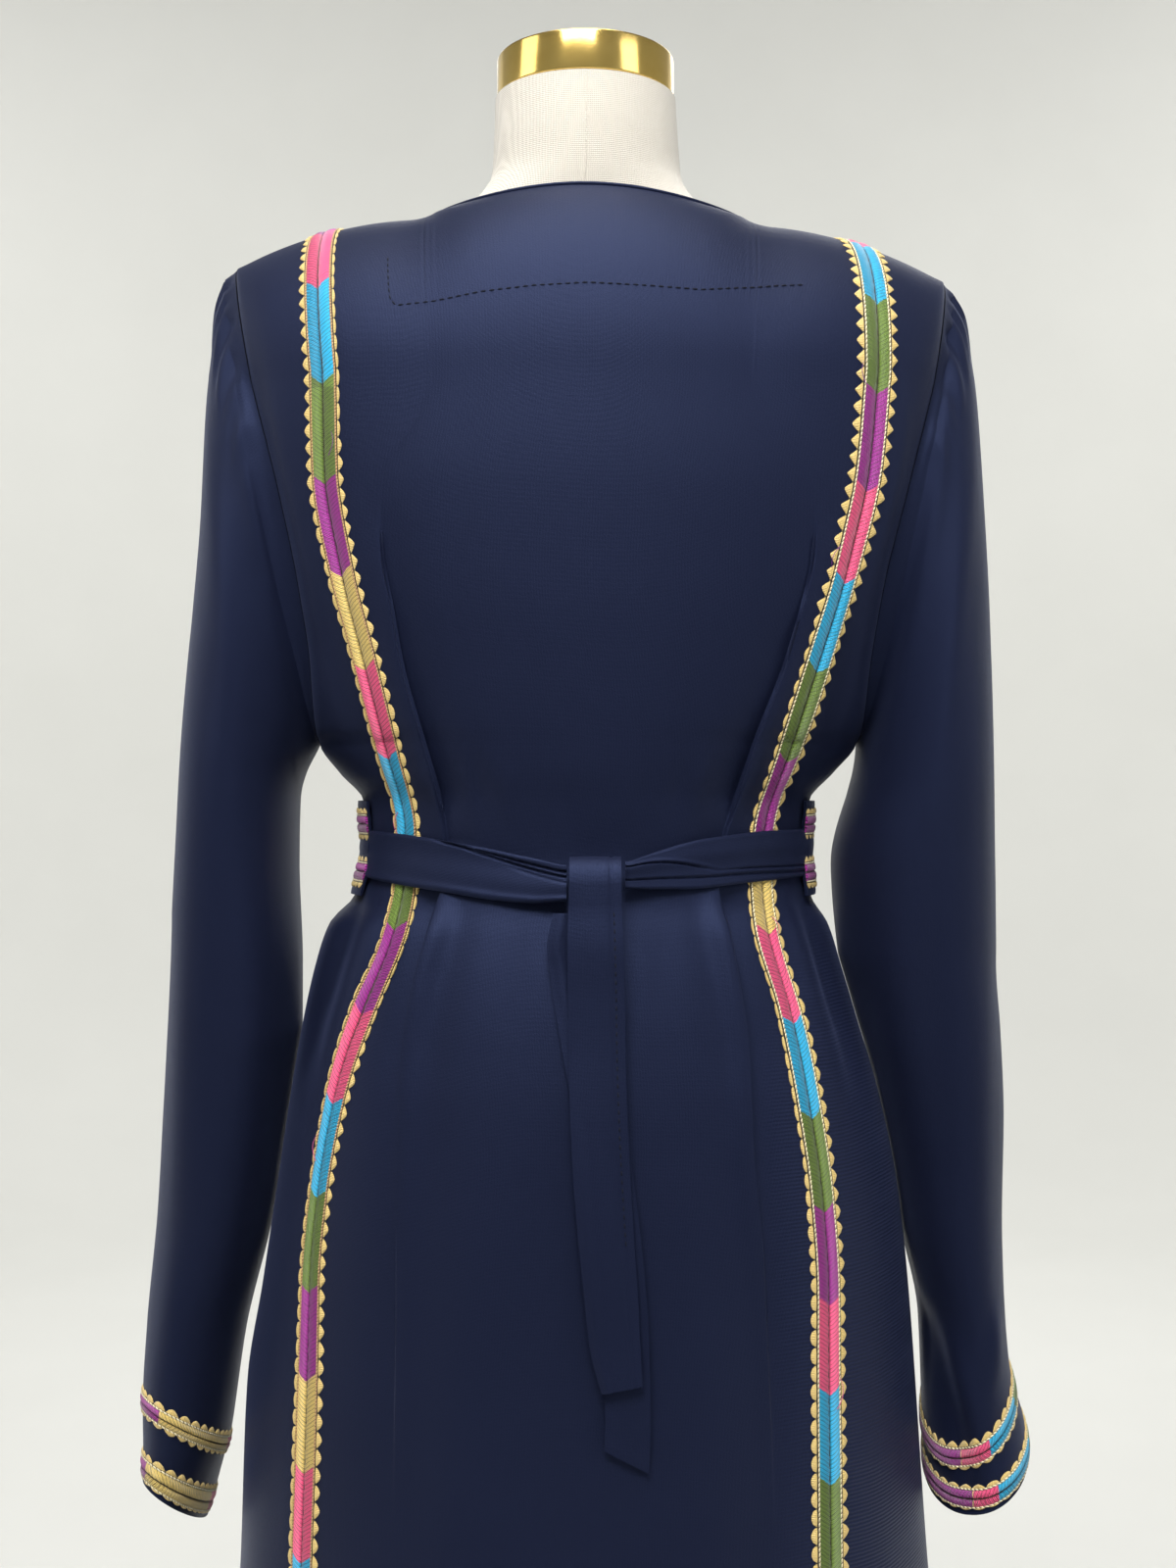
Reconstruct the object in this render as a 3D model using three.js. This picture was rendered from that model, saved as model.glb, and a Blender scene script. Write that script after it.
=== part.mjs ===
// A long navy thobe with embroidered bands, worn by a limbless dress form on a round stand.
// Millimetres, +Z up. The origin is the centre of the stand's underside. -Y is the wearer's back,
// +Y the front and +X the wearer's right.
import * as THREE from 'three';

// ---------------------------------------------------------------- driving sizes
const CLOTH = 1.5;            // wall of the navy cloth
const SEAM = 0.3;             // gap between two pieces at a seam
const BAND_WALL = 1.0;        // wall of an embroidered band
const BACK_BAND_HALF = 12.2;  // half width of the long bands
const BELT_OFF = 2.0;         // belt's inner face above the body panels
const BELT_WALL = 1.6;
const TIE_WALL = 1.8;
const HEM_Z = 70;             // hem of the skirt above the floor
const ARMPIT_Z = 1103;
const BLADE_Z = 1291;         // where the panels start to turn over the shoulder
const SHOULDER = { x: 192.5, z: 1358.5 };
const NECK_SIDE = { x: 88, z: 1386 };
const BACK_NECK = { y: -58, z: 1392.5, round: 2 };
const FRONT_NECK = { y: 75, z: 1335, round: 1.1 };
const TILT = 0.0195;          // the shoulders drop this much towards the wearer's right
const ARMHOLE = { midZ: 1231.5, halfZ: 128.5, back: 51, front: 44 };
const STAND = { baseR: 175, baseT: 12, poleR: 12.5, poleTop: 822, discR: 46, discT: 6 };
const CAP = { x: -2.5, r: 48.5, z0: 1456.3, z1: 1477.8 };

// ---------------------------------------------------------------- level tables
// Sections of the body: half widths, side seam's y, centre back and centre front y, fullness exponents.
const BODY = table(['z', 'left', 'right', 'side', 'back', 'backP', 'front', 'frontP'], [
  [70, 238, 234, 0, -196, 2.1, 190, 2.1],
  [300, 221, 217, 0, -171, 2.1, 167, 2.1],
  [500, 206, 199, 0, -149, 2.15, 146, 2.1],
  [648, 191.5, 184.5, 0, -134, 2.2, 131, 2.2],
  [756, 187.5, 178, 0, -124, 2.25, 121, 2.2],
  [810, 179, 174, 0, -120, 2.25, 114, 2.2],
  [864, 171, 168, 0, -116, 2.25, 109, 2.2],
  [918, 163, 156.5, 0, -110, 2.25, 104, 2.2],
  [950, 157.5, 147, 0, -104.5, 2.2, 100, 2.2],
  [982, 150.5, 137.5, 0, -97, 2.2, 95, 2.2],
  [1004, 143, 130.5, 0, -90, 2.2, 91, 2.2],
  [1020, 128.5, 121, 0, -84, 2.2, 88, 2.2],
  [1045, 122.5, 118.5, 0, -80, 2.2, 86, 2.2],
  [1071, 124.5, 120.5, 0, -82.5, 2.2, 89, 2.2],
  [1086, 137.5, 133.5, 0, -85, 2.2, 95, 2.2],
  [1103, 148.5, 146.5, 0, -86.5, 2.3, 101, 2.2],
  [1140, 148.5, 148.5, 0, -89, 2.4, 111, 2.2],
  [1182, 153, 154, 0, -91, 2.5, 118, 2.2],
  [1233, 163, 166, 0, -92, 2.5, 114, 2.2],
  [1291, 178, 181, 0, -90, 2.5, 98, 2.2],
]);

// Centre lines of the two long bands: x at each height, wearer's left (-x) and right (+x), back then front.
const BANDS = table(['z', 'backL', 'backR', 'frontL', 'frontR'], [
  [70, -153, 127, -150, 150],
  [400, -149, 122, -140, 140],
  [600, -146.3, 119.5, -130, 130],
  [692, -145, 119, -126, 126],
  [737, -143.9, 119.2, -124, 124],
  [781, -143.2, 119.4, -122, 122],
  [825, -143.0, 119.8, -119, 119],
  [871, -139.3, 117.2, -115, 115],
  [920, -130.3, 110.5, -111, 111],
  [964, -116.9, 102.6, -106, 106],
  [1008, -100.7, 91.3, -101, 101],
  [1031, -96.8, 89.4, -98, 98],
  [1055, -96.2, 90.5, -98, 98],
  [1097, -104.4, 102.4, -103, 103],
  [1143, -114.9, 116.3, -112, 112],
  [1189, -126.6, 130.6, -122, 122],
  [1239, -135.2, 142.2, -132, 132],
  [1291, -136.4, 147.3, -139, 139],
]);
const BAND_TOP = 142;         // the bands' x where they cross the shoulder seam

// Flutes of the skirt: angle round from the centre back, half width, depth at the hem, height where each starts.
const FLUTES = table(['at', 'half', 'depth', 'top'], [
  [-63, 17, 13, 800], [-34, 14, 10, 690], [-6, 15, 12, 650], [22, 13, 9, 700], [50, 16, 13, 790],
  [82, 15, 11, 740], [112, 16, 13, 770], [141, 14, 10, 690], [171, 15, 11, 650], [202, 14, 12, 700],
  [231, 15, 11, 760], [263, 15, 12, 780],
]);

// Rings of each sleeve, armhole to hem: outer and inner edge, middle y, half depth, and how far the ring dips at the back.
const SLEEVE_L = table(['xo', 'zo', 'xi', 'zi', 'y', 'half', 'dip'], [
  [199.5, 1358, 149.6, 1101.0, 2, 51, 0],
  [205.0, 1341, 150.8, 1098.6, 2, 52, 0],
  [208.6, 1300, 152.4, 1095.6, 2, 54, 0],
  [212.2, 1236, 154.8, 1091.4, 2, 56.5, 0],
  [218.0, 1168, 157.8, 1085.0, 2, 57.5, 0],
  [223.4, 1100, 161.0, 1071.0, 2, 58, 0],
  [226.6, 1040, 161.6, 1036.0, 2, 57, 0],
  [229.9, 984, 159.6, 982.0, 2, 55, 0],
  [232.3, 948, 159.6, 945.0, 2, 53.5, 0],
  [235.3, 900, 167.8, 895.0, 3, 52, 0],
  [238.2, 846, 176.4, 840.0, 3, 50.5, -2],
  [242.4, 788, 191.0, 780.0, 2, 49, -8],
  [243.6, 750, 199.5, 723.8, 0, 48, -15.7],
  [243.6, 735.7, 203.2, 710.3, 0, 48, -15.8],
  [243.2, 715.7, 208.0, 694.0, 0, 47, -17.4],
  [242.8, 700.5, 213.2, 677.8, 0, 46, -17],
  [242.6, 698, 213.8, 675.4, 0, 46, -17],
]);
const SLEEVE_R = table(['xo', 'zo', 'xi', 'zi', 'y', 'half', 'dip'], [
  [198.5, 1350.5, 147.4, 1101.4, 2, 51, 0],
  [205.0, 1338, 147.8, 1099.6, 2, 52, 0],
  [210.8, 1300, 148.0, 1097.4, 2, 54, 0],
  [215.4, 1240, 147.6, 1094.0, 2, 56.5, 0],
  [219.0, 1172, 146.0, 1086.0, 2, 57.5, 0],
  [220.8, 1100, 142.6, 1074.0, 2, 58, 0],
  [221.6, 1040, 133.6, 1036.0, 2, 58, 0],
  [222.2, 985, 138.2, 982.0, 2, 56.5, 0],
  [225.2, 947, 148.0, 945.0, 2, 54.5, 0],
  [227.4, 897, 162.0, 895.0, 3, 53, 0],
  [226.8, 840, 172.0, 840.0, 3, 51, 0],
  [227.6, 792, 182.6, 785.0, 2, 49.5, 3],
  [229.4, 766, 184.3, 731.5, 0, 50, 9.5],
  [232.6, 752, 184.5, 718.5, -1, 50, 11.5],
  [236.8, 737, 184.8, 712.0, -2, 50, 9.5],
  [238.6, 723.5, 185.2, 699.0, -2, 49.5, 9.5],
  [238.4, 721, 185.4, 696.5, -2, 49.5, 9.5],
]);
const CUFF_BANDS = [{ name: 'upper', from: 12, to: 13 }, { name: 'lower', from: 14, to: 15 }];  // ring numbers
const BESIDE = 1.2;           // least gap between a sleeve's inner edge and the skirt

// The pleats beside the bands on the back: x of each crease and its depth.
const PLEATS = table(['z', 'left', 'right', 'depth'], [
  [70, -98, 98, 0],
  [840, -96, 86, 0.5],
  [900, -95, 80, 1.2],
  [945, -93, 78, 2.2],
  [982, -87, 73, 3.6],
  [1004, -81, 69, 4.6],
  [1020, -77.5, 66, 5.0],
  [1045, -75, 68, 4.0],
  [1071, -78, 75.5, 3.6],
  [1103, -86, 85.5, 3.0],
  [1140, -96, 99.5, 2.0],
  [1169, -101, 108, 1.2],
  [1198, -106, 114, 0.5],
  [1291, -106, 116, 0],
]);

// Dress form: sections from its flat underside to the top of the neck.
const FORM = table(['z', 'x', 'half', 'back', 'front', 'p'], [
  [826, 0, 157, -94, 88, 2.2],
  [832, 0, 161, -98, 91, 2.2],
  [872, 0, 161, -104, 95, 2.2],
  [918, 0, 149, -101, 93, 2.2],
  [950, 0, 139, -95, 89, 2.2],
  [982, 0, 129, -86, 84, 2.2],
  [1012, 0, 117, -77, 79, 2.2],
  [1045, 0, 111, -71, 76, 2.2],
  [1075, 0, 113, -71, 78, 2.2],
  [1103, 0, 120, -74, 86, 2.2],
  [1150, 0, 129, -80, 101, 2.2],
  [1195, 0, 137, -84, 109, 2.2],
  [1245, 0, 148, -85, 102, 2.2],
  [1291, 0, 164, -82, 86, 2.2],
  [1318, 0, 173, -77, 76, 1.9],
  [1338, 0, 175, -71, 67, 1.7],
  [1350, -0.2, 167, -66, 60, 1.5],
  [1360, -0.4, 153, -62, 54, 1.4],
  [1366, -0.6, 138, -60, 51, 1.3],
  [1372, -0.8, 115, -57, 38, 1.25],
  [1377, -1.0, 95, -53, 34, 1.3],
  [1382, -2.0, 78, -49, 34, 1.5],
  [1388, -3.0, 72, -47, 37, 1.8],
  [1395, -3.0, 65.5, -47, 42, 2.0],
  [1404, -2.5, 57, -47.5, 44, 2.0],
  [1413, -2.0, 52.3, -48, 46, 2.0],
  [1435, -2.2, 50.6, -48.8, 46.8, 2.0],
  [1456, -2.5, 49.6, -48.4, 47, 2.0],
]);

// Belt tie across the back: height of the middle, half width and lift off the body, by distance from the knot.
const TIE = table(['x', 'z', 'half', 'lift'], [
  [-124, 1043, 11, 2.2], [-90, 1039, 12, 2.2], [-55, 1034.5, 12, 2.6], [-30, 1031, 11, 5.0], [-13.5, 1029, 9, 8.5],
  [19.0, 1033, 7, 8.5], [34, 1036, 9.5, 5.0], [60, 1039.5, 12, 2.6], [90, 1042.5, 12, 2.2], [122, 1043.5, 11, 2.2],
]);
const KNOT = { x: 2.8, lift: 12.4, z: 1029, rx: 12.4, ry: 7.6, rz: 11.6 };
// Hanging ends of the tie: middle x, half width, and the lift of the back face off the body.
const TAIL_OVER = table(['z', 'x', 'half', 'lift'], [
  [1020, 2.4, 13.2, 21.5], [1000, 2.6, 13.8, 15.2], [975, 3.0, 14, 9.5], [945, 3.4, 14, 6.2], [900, 5.0, 14, 5.4],
  [860, 7.6, 13.6, 5.4], [830, 10.2, 13.0, 5.4], [808, 12.0, 12.2, 5.6], [788, 15.4, 9.8, 6.4],
]);
const TAIL_UNDER = table(['z', 'x', 'half', 'lift'], [
  [1015, -8, 10.5, 9.0], [1000, -10, 11.5, 6.0], [985, -7.5, 12.5, 3.0], [960, -3, 13, 2.0], [920, 4, 13, 2.0],
  [880, 9.5, 12.6, 2.0], [840, 14.5, 12, 2.0], [800, 17.6, 11.2, 2.0], [770, 18.2, 10.9, 2.0], [752, 17.6, 10.8, 2.0],
]);

// ---------------------------------------------------------------- small tools
function table(names, rows) {
  return rows.map((r) => Object.fromEntries(names.map((n, i) => [n, r[i]])));
}

// Smooth, never overshooting value of one column at x, by its key column (Fritsch-Carlson cubic).
function at(rows, key, column, x) {
  const n = rows.length, X = rows.map((r) => r[key]), Y = rows.map((r) => r[column]);
  if (x <= X[0]) return Y[0];
  if (x >= X[n - 1]) return Y[n - 1];
  const d = [], m = [];
  for (let i = 0; i < n - 1; i++) d.push((Y[i + 1] - Y[i]) / (X[i + 1] - X[i]));
  for (let i = 0; i < n; i++) {
    if (i === 0) m.push(d[0]);
    else if (i === n - 1) m.push(d[n - 2]);
    else if (d[i - 1] * d[i] <= 0) m.push(0);
    else {
      const a = X[i] - X[i - 1], b = X[i + 1] - X[i];
      m.push((3 * (a + b)) / ((2 * b + a) / d[i - 1] + (b + 2 * a) / d[i]));
    }
  }
  let k = 0;
  while (x > X[k + 1]) k++;
  const h = X[k + 1] - X[k], t = (x - X[k]) / h;
  return (1 + 2 * t) * (1 - t) ** 2 * Y[k] + t * (1 - t) ** 2 * h * m[k] +
    t * t * (3 - 2 * t) * Y[k + 1] + t * t * (t - 1) * h * m[k + 1];
}
const lerp = (a, b, t) => a + (b - a) * t;
const rad = (d) => (d * Math.PI) / 180;

// A closed solid between two offsets of a grid of points along the grid's normals. around joins the last column to the first.
function wall(points, normals, lo, hi, around = false) {
  const rows = points.length, cols = points[0].length, pos = [], idx = [];
  for (const off of [lo, hi])
    for (let r = 0; r < rows; r++)
      for (let c = 0; c < cols; c++) pos.push(...points[r][c].clone().addScaledVector(normals[r][c], off).toArray());
  const id = (side, r, c) => side * rows * cols + r * cols + (c % cols);
  const quad = (a, b, c, d) => idx.push(a, b, c, a, c, d);
  const last = around ? cols : cols - 1;
  for (let r = 0; r < rows - 1; r++)
    for (let c = 0; c < last; c++) {
      quad(id(1, r, c), id(1, r, c + 1), id(1, r + 1, c + 1), id(1, r + 1, c));
      quad(id(0, r, c), id(0, r + 1, c), id(0, r + 1, c + 1), id(0, r, c + 1));
    }
  for (let c = 0; c < last; c++) {
    quad(id(1, 0, c), id(0, 0, c), id(0, 0, c + 1), id(1, 0, c + 1));
    quad(id(1, rows - 1, c), id(1, rows - 1, c + 1), id(0, rows - 1, c + 1), id(0, rows - 1, c));
  }
  if (!around)
    for (let r = 0; r < rows - 1; r++) {
      quad(id(1, r, 0), id(1, r + 1, 0), id(0, r + 1, 0), id(0, r, 0));
      quad(id(1, r, cols - 1), id(0, r, cols - 1), id(0, r + 1, cols - 1), id(1, r + 1, cols - 1));
    }
  return facingOut(pos, idx);
}

function facingOut(pos, idx) {
  let volume = 0;
  const p = (i) => new THREE.Vector3(pos[3 * i], pos[3 * i + 1], pos[3 * i + 2]);
  for (let i = 0; i < idx.length; i += 3) volume += p(idx[i]).dot(p(idx[i + 1]).cross(p(idx[i + 2])));
  if (volume < 0) for (let i = 0; i < idx.length; i += 3) [idx[i + 1], idx[i + 2]] = [idx[i + 2], idx[i + 1]];
  const g = new THREE.BufferGeometry();
  g.setAttribute('position', new THREE.Float32BufferAttribute(pos, 3));
  g.setIndex(idx);
  g.computeVertexNormals();
  return g;
}

// Normals of a grid by central differences, pointing the way that outward(p) says.
function normalsOf(points, outward, around = false) {
  const rows = points.length, cols = points[0].length;
  return points.map((row, r) => row.map((p, c) => {
    const c0 = around ? (c + cols - 1) % cols : Math.max(c - 1, 0), c1 = around ? (c + 1) % cols : Math.min(c + 1, cols - 1);
    const du = points[r][c1].clone().sub(points[r][c0]);
    const dv = points[Math.min(r + 1, rows - 1)][c].clone().sub(points[Math.max(r - 1, 0)][c]);
    const n = du.cross(dv).normalize();
    return n.dot(outward(p, r, c)) < 0 ? n.negate() : n;
  }));
}

// ---------------------------------------------------------------- body panels
function flute(angle, z) {
  let d = 0;
  for (const f of FLUTES) {
    const off = (((angle - f.at + 540) % 360) - 180) / f.half;
    if (Math.abs(off) < 1 && z < f.top) d += f.depth * ((f.top - z) / (f.top - HEM_Z)) ** 1.25 * Math.cos((off * Math.PI) / 2) ** 2;
  }
  return d;
}

// A point of the front or back at share u of the half width (-1 left, +1 right) and height z, below the shoulder's turn.
function levelPoint(face, u, z) {
  const a = (c) => at(BODY, 'z', c, z);
  const half = u < 0 ? a('left') : a('right'), sign = face === 'back' ? -1 : 1;
  let edge = a('side');
  if (z > ARMPIT_Z) edge += sign * ARMHOLE[face] * Math.sqrt(Math.max(0, 1 - ((ARMHOLE.midZ - z) / ARMHOLE.halfZ) ** 2));
  const full = Math.sqrt(Math.max(0, 1 - Math.abs(u) ** a(face + 'P')));
  const p = new THREE.Vector3(u * half, edge + (a(face) - edge) * full, z);
  if (face === 'back') {
    const d = at(PLEATS, 'z', 'depth', z), side = p.x < 0 ? 'left' : 'right';
    p.y += d * Math.exp(-(((p.x - at(PLEATS, 'z', side, z)) / 9) ** 2));
  }
  if (z < 800) {
    const turn = (Math.asin(Math.max(-1, Math.min(1, u))) * 180) / Math.PI;
    const d = flute(face === 'back' ? turn : 180 - turn, z), r = Math.hypot(p.x, p.y);
    p.x *= 1 + d / r;
    p.y *= 1 + d / r;
  }
  return p;
}

// The top edge: shoulder seam outside the neck, neckline inside it.
function topPoint(face, u) {
  const x = u * SHOULDER.x, in_ = Math.abs(x) / NECK_SIDE.x;
  if (in_ >= 1) {
    const s = (Math.abs(x) - NECK_SIDE.x) / (SHOULDER.x - NECK_SIDE.x);
    return new THREE.Vector3(x, 0, NECK_SIDE.z - (NECK_SIDE.z - SHOULDER.z) * s ** 1.9 - TILT * x);
  }
  const neck = face === 'back' ? BACK_NECK : FRONT_NECK, rest = 1 - in_ ** 2;
  return new THREE.Vector3(x, neck.y * Math.sqrt(rest), lerp(NECK_SIDE.z, neck.z, rest ** neck.round) - TILT * x);
}

// A point between the blade level and the top edge, turn = 0 to 1.
function shoulderPoint(face, u, turn) {
  const b = levelPoint(face, u, BLADE_Z), t = topPoint(face, u);
  const end = rad(lerp(62, 90, Math.min(1, Math.abs(u * SHOULDER.x) / NECK_SIDE.x)));
  const f = turn * end, up = Math.sin(f) / Math.sin(end), back = (Math.cos(f) - Math.cos(end)) / (1 - Math.cos(end));
  return new THREE.Vector3(lerp(b.x, t.x, up), t.y + (b.y - t.y) * back, lerp(b.z, t.z, up));
}

const LEVELS = [70, 190, 320, 450, 570, 680, 780, 840, 895, 945, 982, 1004, 1020, 1045, 1071, 1086, 1103,
  1124, 1182, 1228, 1262, 1291];
const TURNS = [0.27, 0.52, 0.77, 1];
const ARMHOLE_ROW = LEVELS.indexOf(ARMPIT_Z);
const BELT_ROWS = [1020, 1045, 1071].map((z) => LEVELS.indexOf(z));

// Columns: outside the bands, along each band (edge, middle, edge), and between them, with one at each side of the neck.
function columnsOf(face, row) {
  const z = row < LEVELS.length ? LEVELS[row] : BLADE_Z, turn = row < LEVELS.length ? 0 : TURNS[row - LEVELS.length];
  const mid = ['L', 'R'].map((side, i) => {
    const sign = i ? 1 : -1, half = i ? at(BODY, 'z', 'right', z) : at(BODY, 'z', 'left', z);
    const u = at(BANDS, 'z', face + side, z) / half, top = (sign * BAND_TOP) / SHOULDER.x;
    const width = lerp(half, SHOULDER.x, turn);
    // the cloth turns away from the middle, so an equal width of band takes less of x there
    const lean = Math.cos(Math.asin(Math.min(0.93, Math.abs(u) ** 1.6)) * 0.9);
    return { u: lerp(u, top, turn), w: (BACK_BAND_HALF * lerp(lean, 1, turn)) / width };
  });
  const [l, r] = mid, out = [];
  for (const s of [0, 0.3, 0.58, 0.81]) out.push(lerp(-90, deg(l.u - l.w), s));
  out.push(deg(l.u - l.w), deg(l.u), deg(l.u + l.w));
  const neck = NECK_SIDE.x / BAND_TOP;
  const crease = ['left', 'right'].map((side, i) => lerp(at(PLEATS, 'z', side, z) / at(BODY, 'z', side, z), (i ? 1 : -1) * 0.62, turn));
  out.push(deg(crease[0]));
  for (const s of [-neck, -0.5, -0.25, 0, 0.25, 0.5, neck]) out.push(deg(lerp(l.u, r.u, (s + 1) / 2)));
  out.push(deg(crease[1]));
  out.push(deg(r.u - r.w), deg(r.u), deg(r.u + r.w));
  for (const s of [0.19, 0.42, 0.7, 1]) out.push(lerp(deg(r.u + r.w), 90, s));
  return out;
}
function deg(u) { return (Math.asin(Math.max(-1, Math.min(1, u))) * 180) / Math.PI; }
const BAND_COLS = { L: [4, 6], R: [16, 18] };

function panel(face) {
  const points = [], sign = face === 'back' ? -1 : 1;
  for (let row = 0; row < LEVELS.length + TURNS.length; row++)
    points.push(columnsOf(face, row).map((angle) => {
      const u = Math.sin(rad(angle));
      return row < LEVELS.length ? levelPoint(face, u, LEVELS[row]) : shoulderPoint(face, u, TURNS[row - LEVELS.length]);
    }));
  const normals = normalsOf(points, (p, r, c) => {
    const a = rad(columnsOf(face, r)[c]), up = r >= LEVELS.length ? 1.2 * TURNS[r - LEVELS.length] : 0;
    return new THREE.Vector3(Math.sin(a), sign * Math.max(0.15, Math.cos(a)), up);
  });
  const end = points[0].length - 1, top = points.length - 1;
  points.forEach((row, r) => row.forEach((p, c) => {
    const seam = ((c === 0 || c === end) && r <= ARMHOLE_ROW) || (r === top && Math.abs(p.x) >= NECK_SIDE.x - 1e-6);
    if (!seam) return;
    normals[r][c].setY(0).normalize();    // both panels share this normal, so their walls meet squarely
    p.y += (sign * SEAM) / 2;
  }));
  return { points, normals, sign };
}

// ---------------------------------------------------------------- sleeves
// The armhole loop, from the underarm up the back, over the shoulder and down the front.
function armhole(side) {
  const back = panels.back.points, front = panels.front.points, c = side === 'L' ? 0 : back[0].length - 1, loop = [];
  const top = back.length - 1;
  for (let r = ARMHOLE_ROW; r <= top; r++) loop.push(back[r][c].clone());
  for (let r = top - 1; r > ARMHOLE_ROW; r--) loop.push(front[r][c].clone());
  loop[0].y = 0;
  loop[top - ARMHOLE_ROW].y = 0;
  return loop;
}

function sleeve(side) {
  const sign = side === 'L' ? -1 : 1, rows = side === 'L' ? SLEEVE_L : SLEEVE_R, loop = armhole(side);
  const angles = loop.map((p, i) => {
    const a = Math.acos(Math.max(-1, Math.min(1, (ARMHOLE.midZ - p.z) / ARMHOLE.halfZ)));
    return p.y > 0.01 ? 2 * Math.PI - a : a;
  });
  const even = angles.map((a, i) => (i * 2 * Math.PI) / angles.length);
  const points = [loop.map((p) => p.clone().add(new THREE.Vector3(sign * 0.5, 0, 0)))];
  rows.forEach((ring, k) => points.push(angles.map((a0, i) => {
    const a = lerp(a0, even[i], Math.min(1, k / 7));
    const s = (1 - Math.cos(a)) / 2, body = at(BODY, 'z', side === 'L' ? 'left' : 'right', ring.zi);
    return new THREE.Vector3(sign * lerp(Math.max(ring.xi, body + BESIDE), ring.xo, s),
      ring.y - ring.half * Math.sin(a), lerp(ring.zi, ring.zo, s) - ring.dip * Math.sin(a));
  })));
  const centres = points.map((ring) => ring.reduce((s, p) => s.add(p), new THREE.Vector3()).divideScalar(ring.length));
  const normals = normalsOf(points, (p, r) => p.clone().sub(centres[r]), true);
  for (const n of normals[0]) n.setX(0).normalize();    // the sleeve's edge is square to the armhole
  return { points, normals };
}

// ---------------------------------------------------------------- belt and tie
// A point of a panel's faceted surface on column c at height z, and its normal.
function onColumn(p, c, z) {
  let r = 0;
  while (r < LEVELS.length - 2 && LEVELS[r + 1] < z) r++;
  const t = (z - LEVELS[r]) / (LEVELS[r + 1] - LEVELS[r]);
  return { point: p.points[r][c].clone().lerp(p.points[r + 1][c], t), normal: p.normals[r][c].clone().lerp(p.normals[r + 1][c], t).normalize() };
}

// The belt runs from just behind one side, across the front, to just behind the other.
function beltColumns() {
  const end = panels.back.points[0].length - 1, out = [];
  for (const c of [2, 1]) out.push(['back', c]);
  for (let c = 0; c <= end; c++) out.push(['front', c]);
  for (const c of [end - 1, end - 2]) out.push(['back', c]);
  return out;
}
function beltStrip(levels, lo, hi) {
  const got = levels.map((z) => beltColumns().map(([face, c]) => onColumn(panels[face], c, z)));
  return wall(got.map((r) => r.map((g) => g.point)), got.map((r) => r.map((g) => g.normal)), lo, hi);
}

// Back surface at any x and z, for the tie and its ends: interpolated between the panel's columns.
function onBack(x, z) {
  const p = panels.back, end = p.points[0].length - 1;
  let c = 0;
  const col = (k) => onColumn(p, k, z);
  while (c < end - 1 && col(c + 1).point.x < x) c++;
  const a = col(c), b = col(c + 1), t = (x - a.point.x) / (b.point.x - a.point.x);
  return { point: a.point.lerp(b.point, t), normal: a.normal.lerp(b.normal, t).normalize() };
}

function tie(side) {
  const rows = TIE.filter((r) => (side === 'L' ? r.x < 0 : r.x > 0)), end = panels.back.points[0].length - 1;
  const from = rows[0].x, to = rows[rows.length - 1].x, xs = [];
  for (let c = 0; c <= end; c++) {
    const x = onColumn(panels.back, c, 1040).point.x;
    if (x > from + 4 && x < to - 4) xs.push(x);
  }
  const first = side === 'L' ? onColumn(panels.back, 2, 1040).point.x : from;
  const last = side === 'L' ? to : onColumn(panels.back, end - 2, 1040).point.x;
  const list = [first + (side === 'L' ? 0.5 : 0), ...xs.filter((x) => x > first + 3 && x < last - 3), last - (side === 'L' ? 0 : 0.5)];
  const grid = [-1, 1].map((s) => list.map((x) => {
    const z = at(rows, 'x', 'z', x) + s * at(rows, 'x', 'half', x), g = onBack(x, z);
    return { point: g.point.addScaledVector(g.normal, at(rows, 'x', 'lift', x)), normal: g.normal };
  }));
  return wall(grid.map((r) => r.map((g) => g.point)), grid.map((r) => r.map((g) => g.normal)), 0, TIE_WALL);
}

function tail(rows, over) {
  const down = [...rows].sort((a, b) => b.z - a.z), spine = [];
  if (over) {
    // over the knot from behind its top
    const k = onBack(KNOT.x, KNOT.z).point, cy = k.y - KNOT.lift;
    for (const a of [35, 62, 90, 118, 146, 172]) {
      const ry = KNOT.ry + 0.6, rz = KNOT.rz + 0.6, c = Math.cos(rad(a)), s = Math.sin(rad(a));
      spine.push({ x: 2.6, half: 12.8, y: cy + ry * c, z: KNOT.z + rz * s, n: new THREE.Vector3(0, c / ry, s / rz).normalize() });
    }
  }
  for (const r of down) {
    const g = onBack(r.x, r.z);
    spine.push({ x: r.x, half: r.half, y: g.point.y - r.lift, z: r.z, n: new THREE.Vector3(0, g.normal.y, g.normal.z).normalize() });
  }
  const grid = spine.map((s) => [-1, 1].map((k) => new THREE.Vector3(s.x + k * s.half, s.y, s.z)));
  return wall(grid, spine.map((s) => [s.n, s.n]), 0, TIE_WALL);
}

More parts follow.
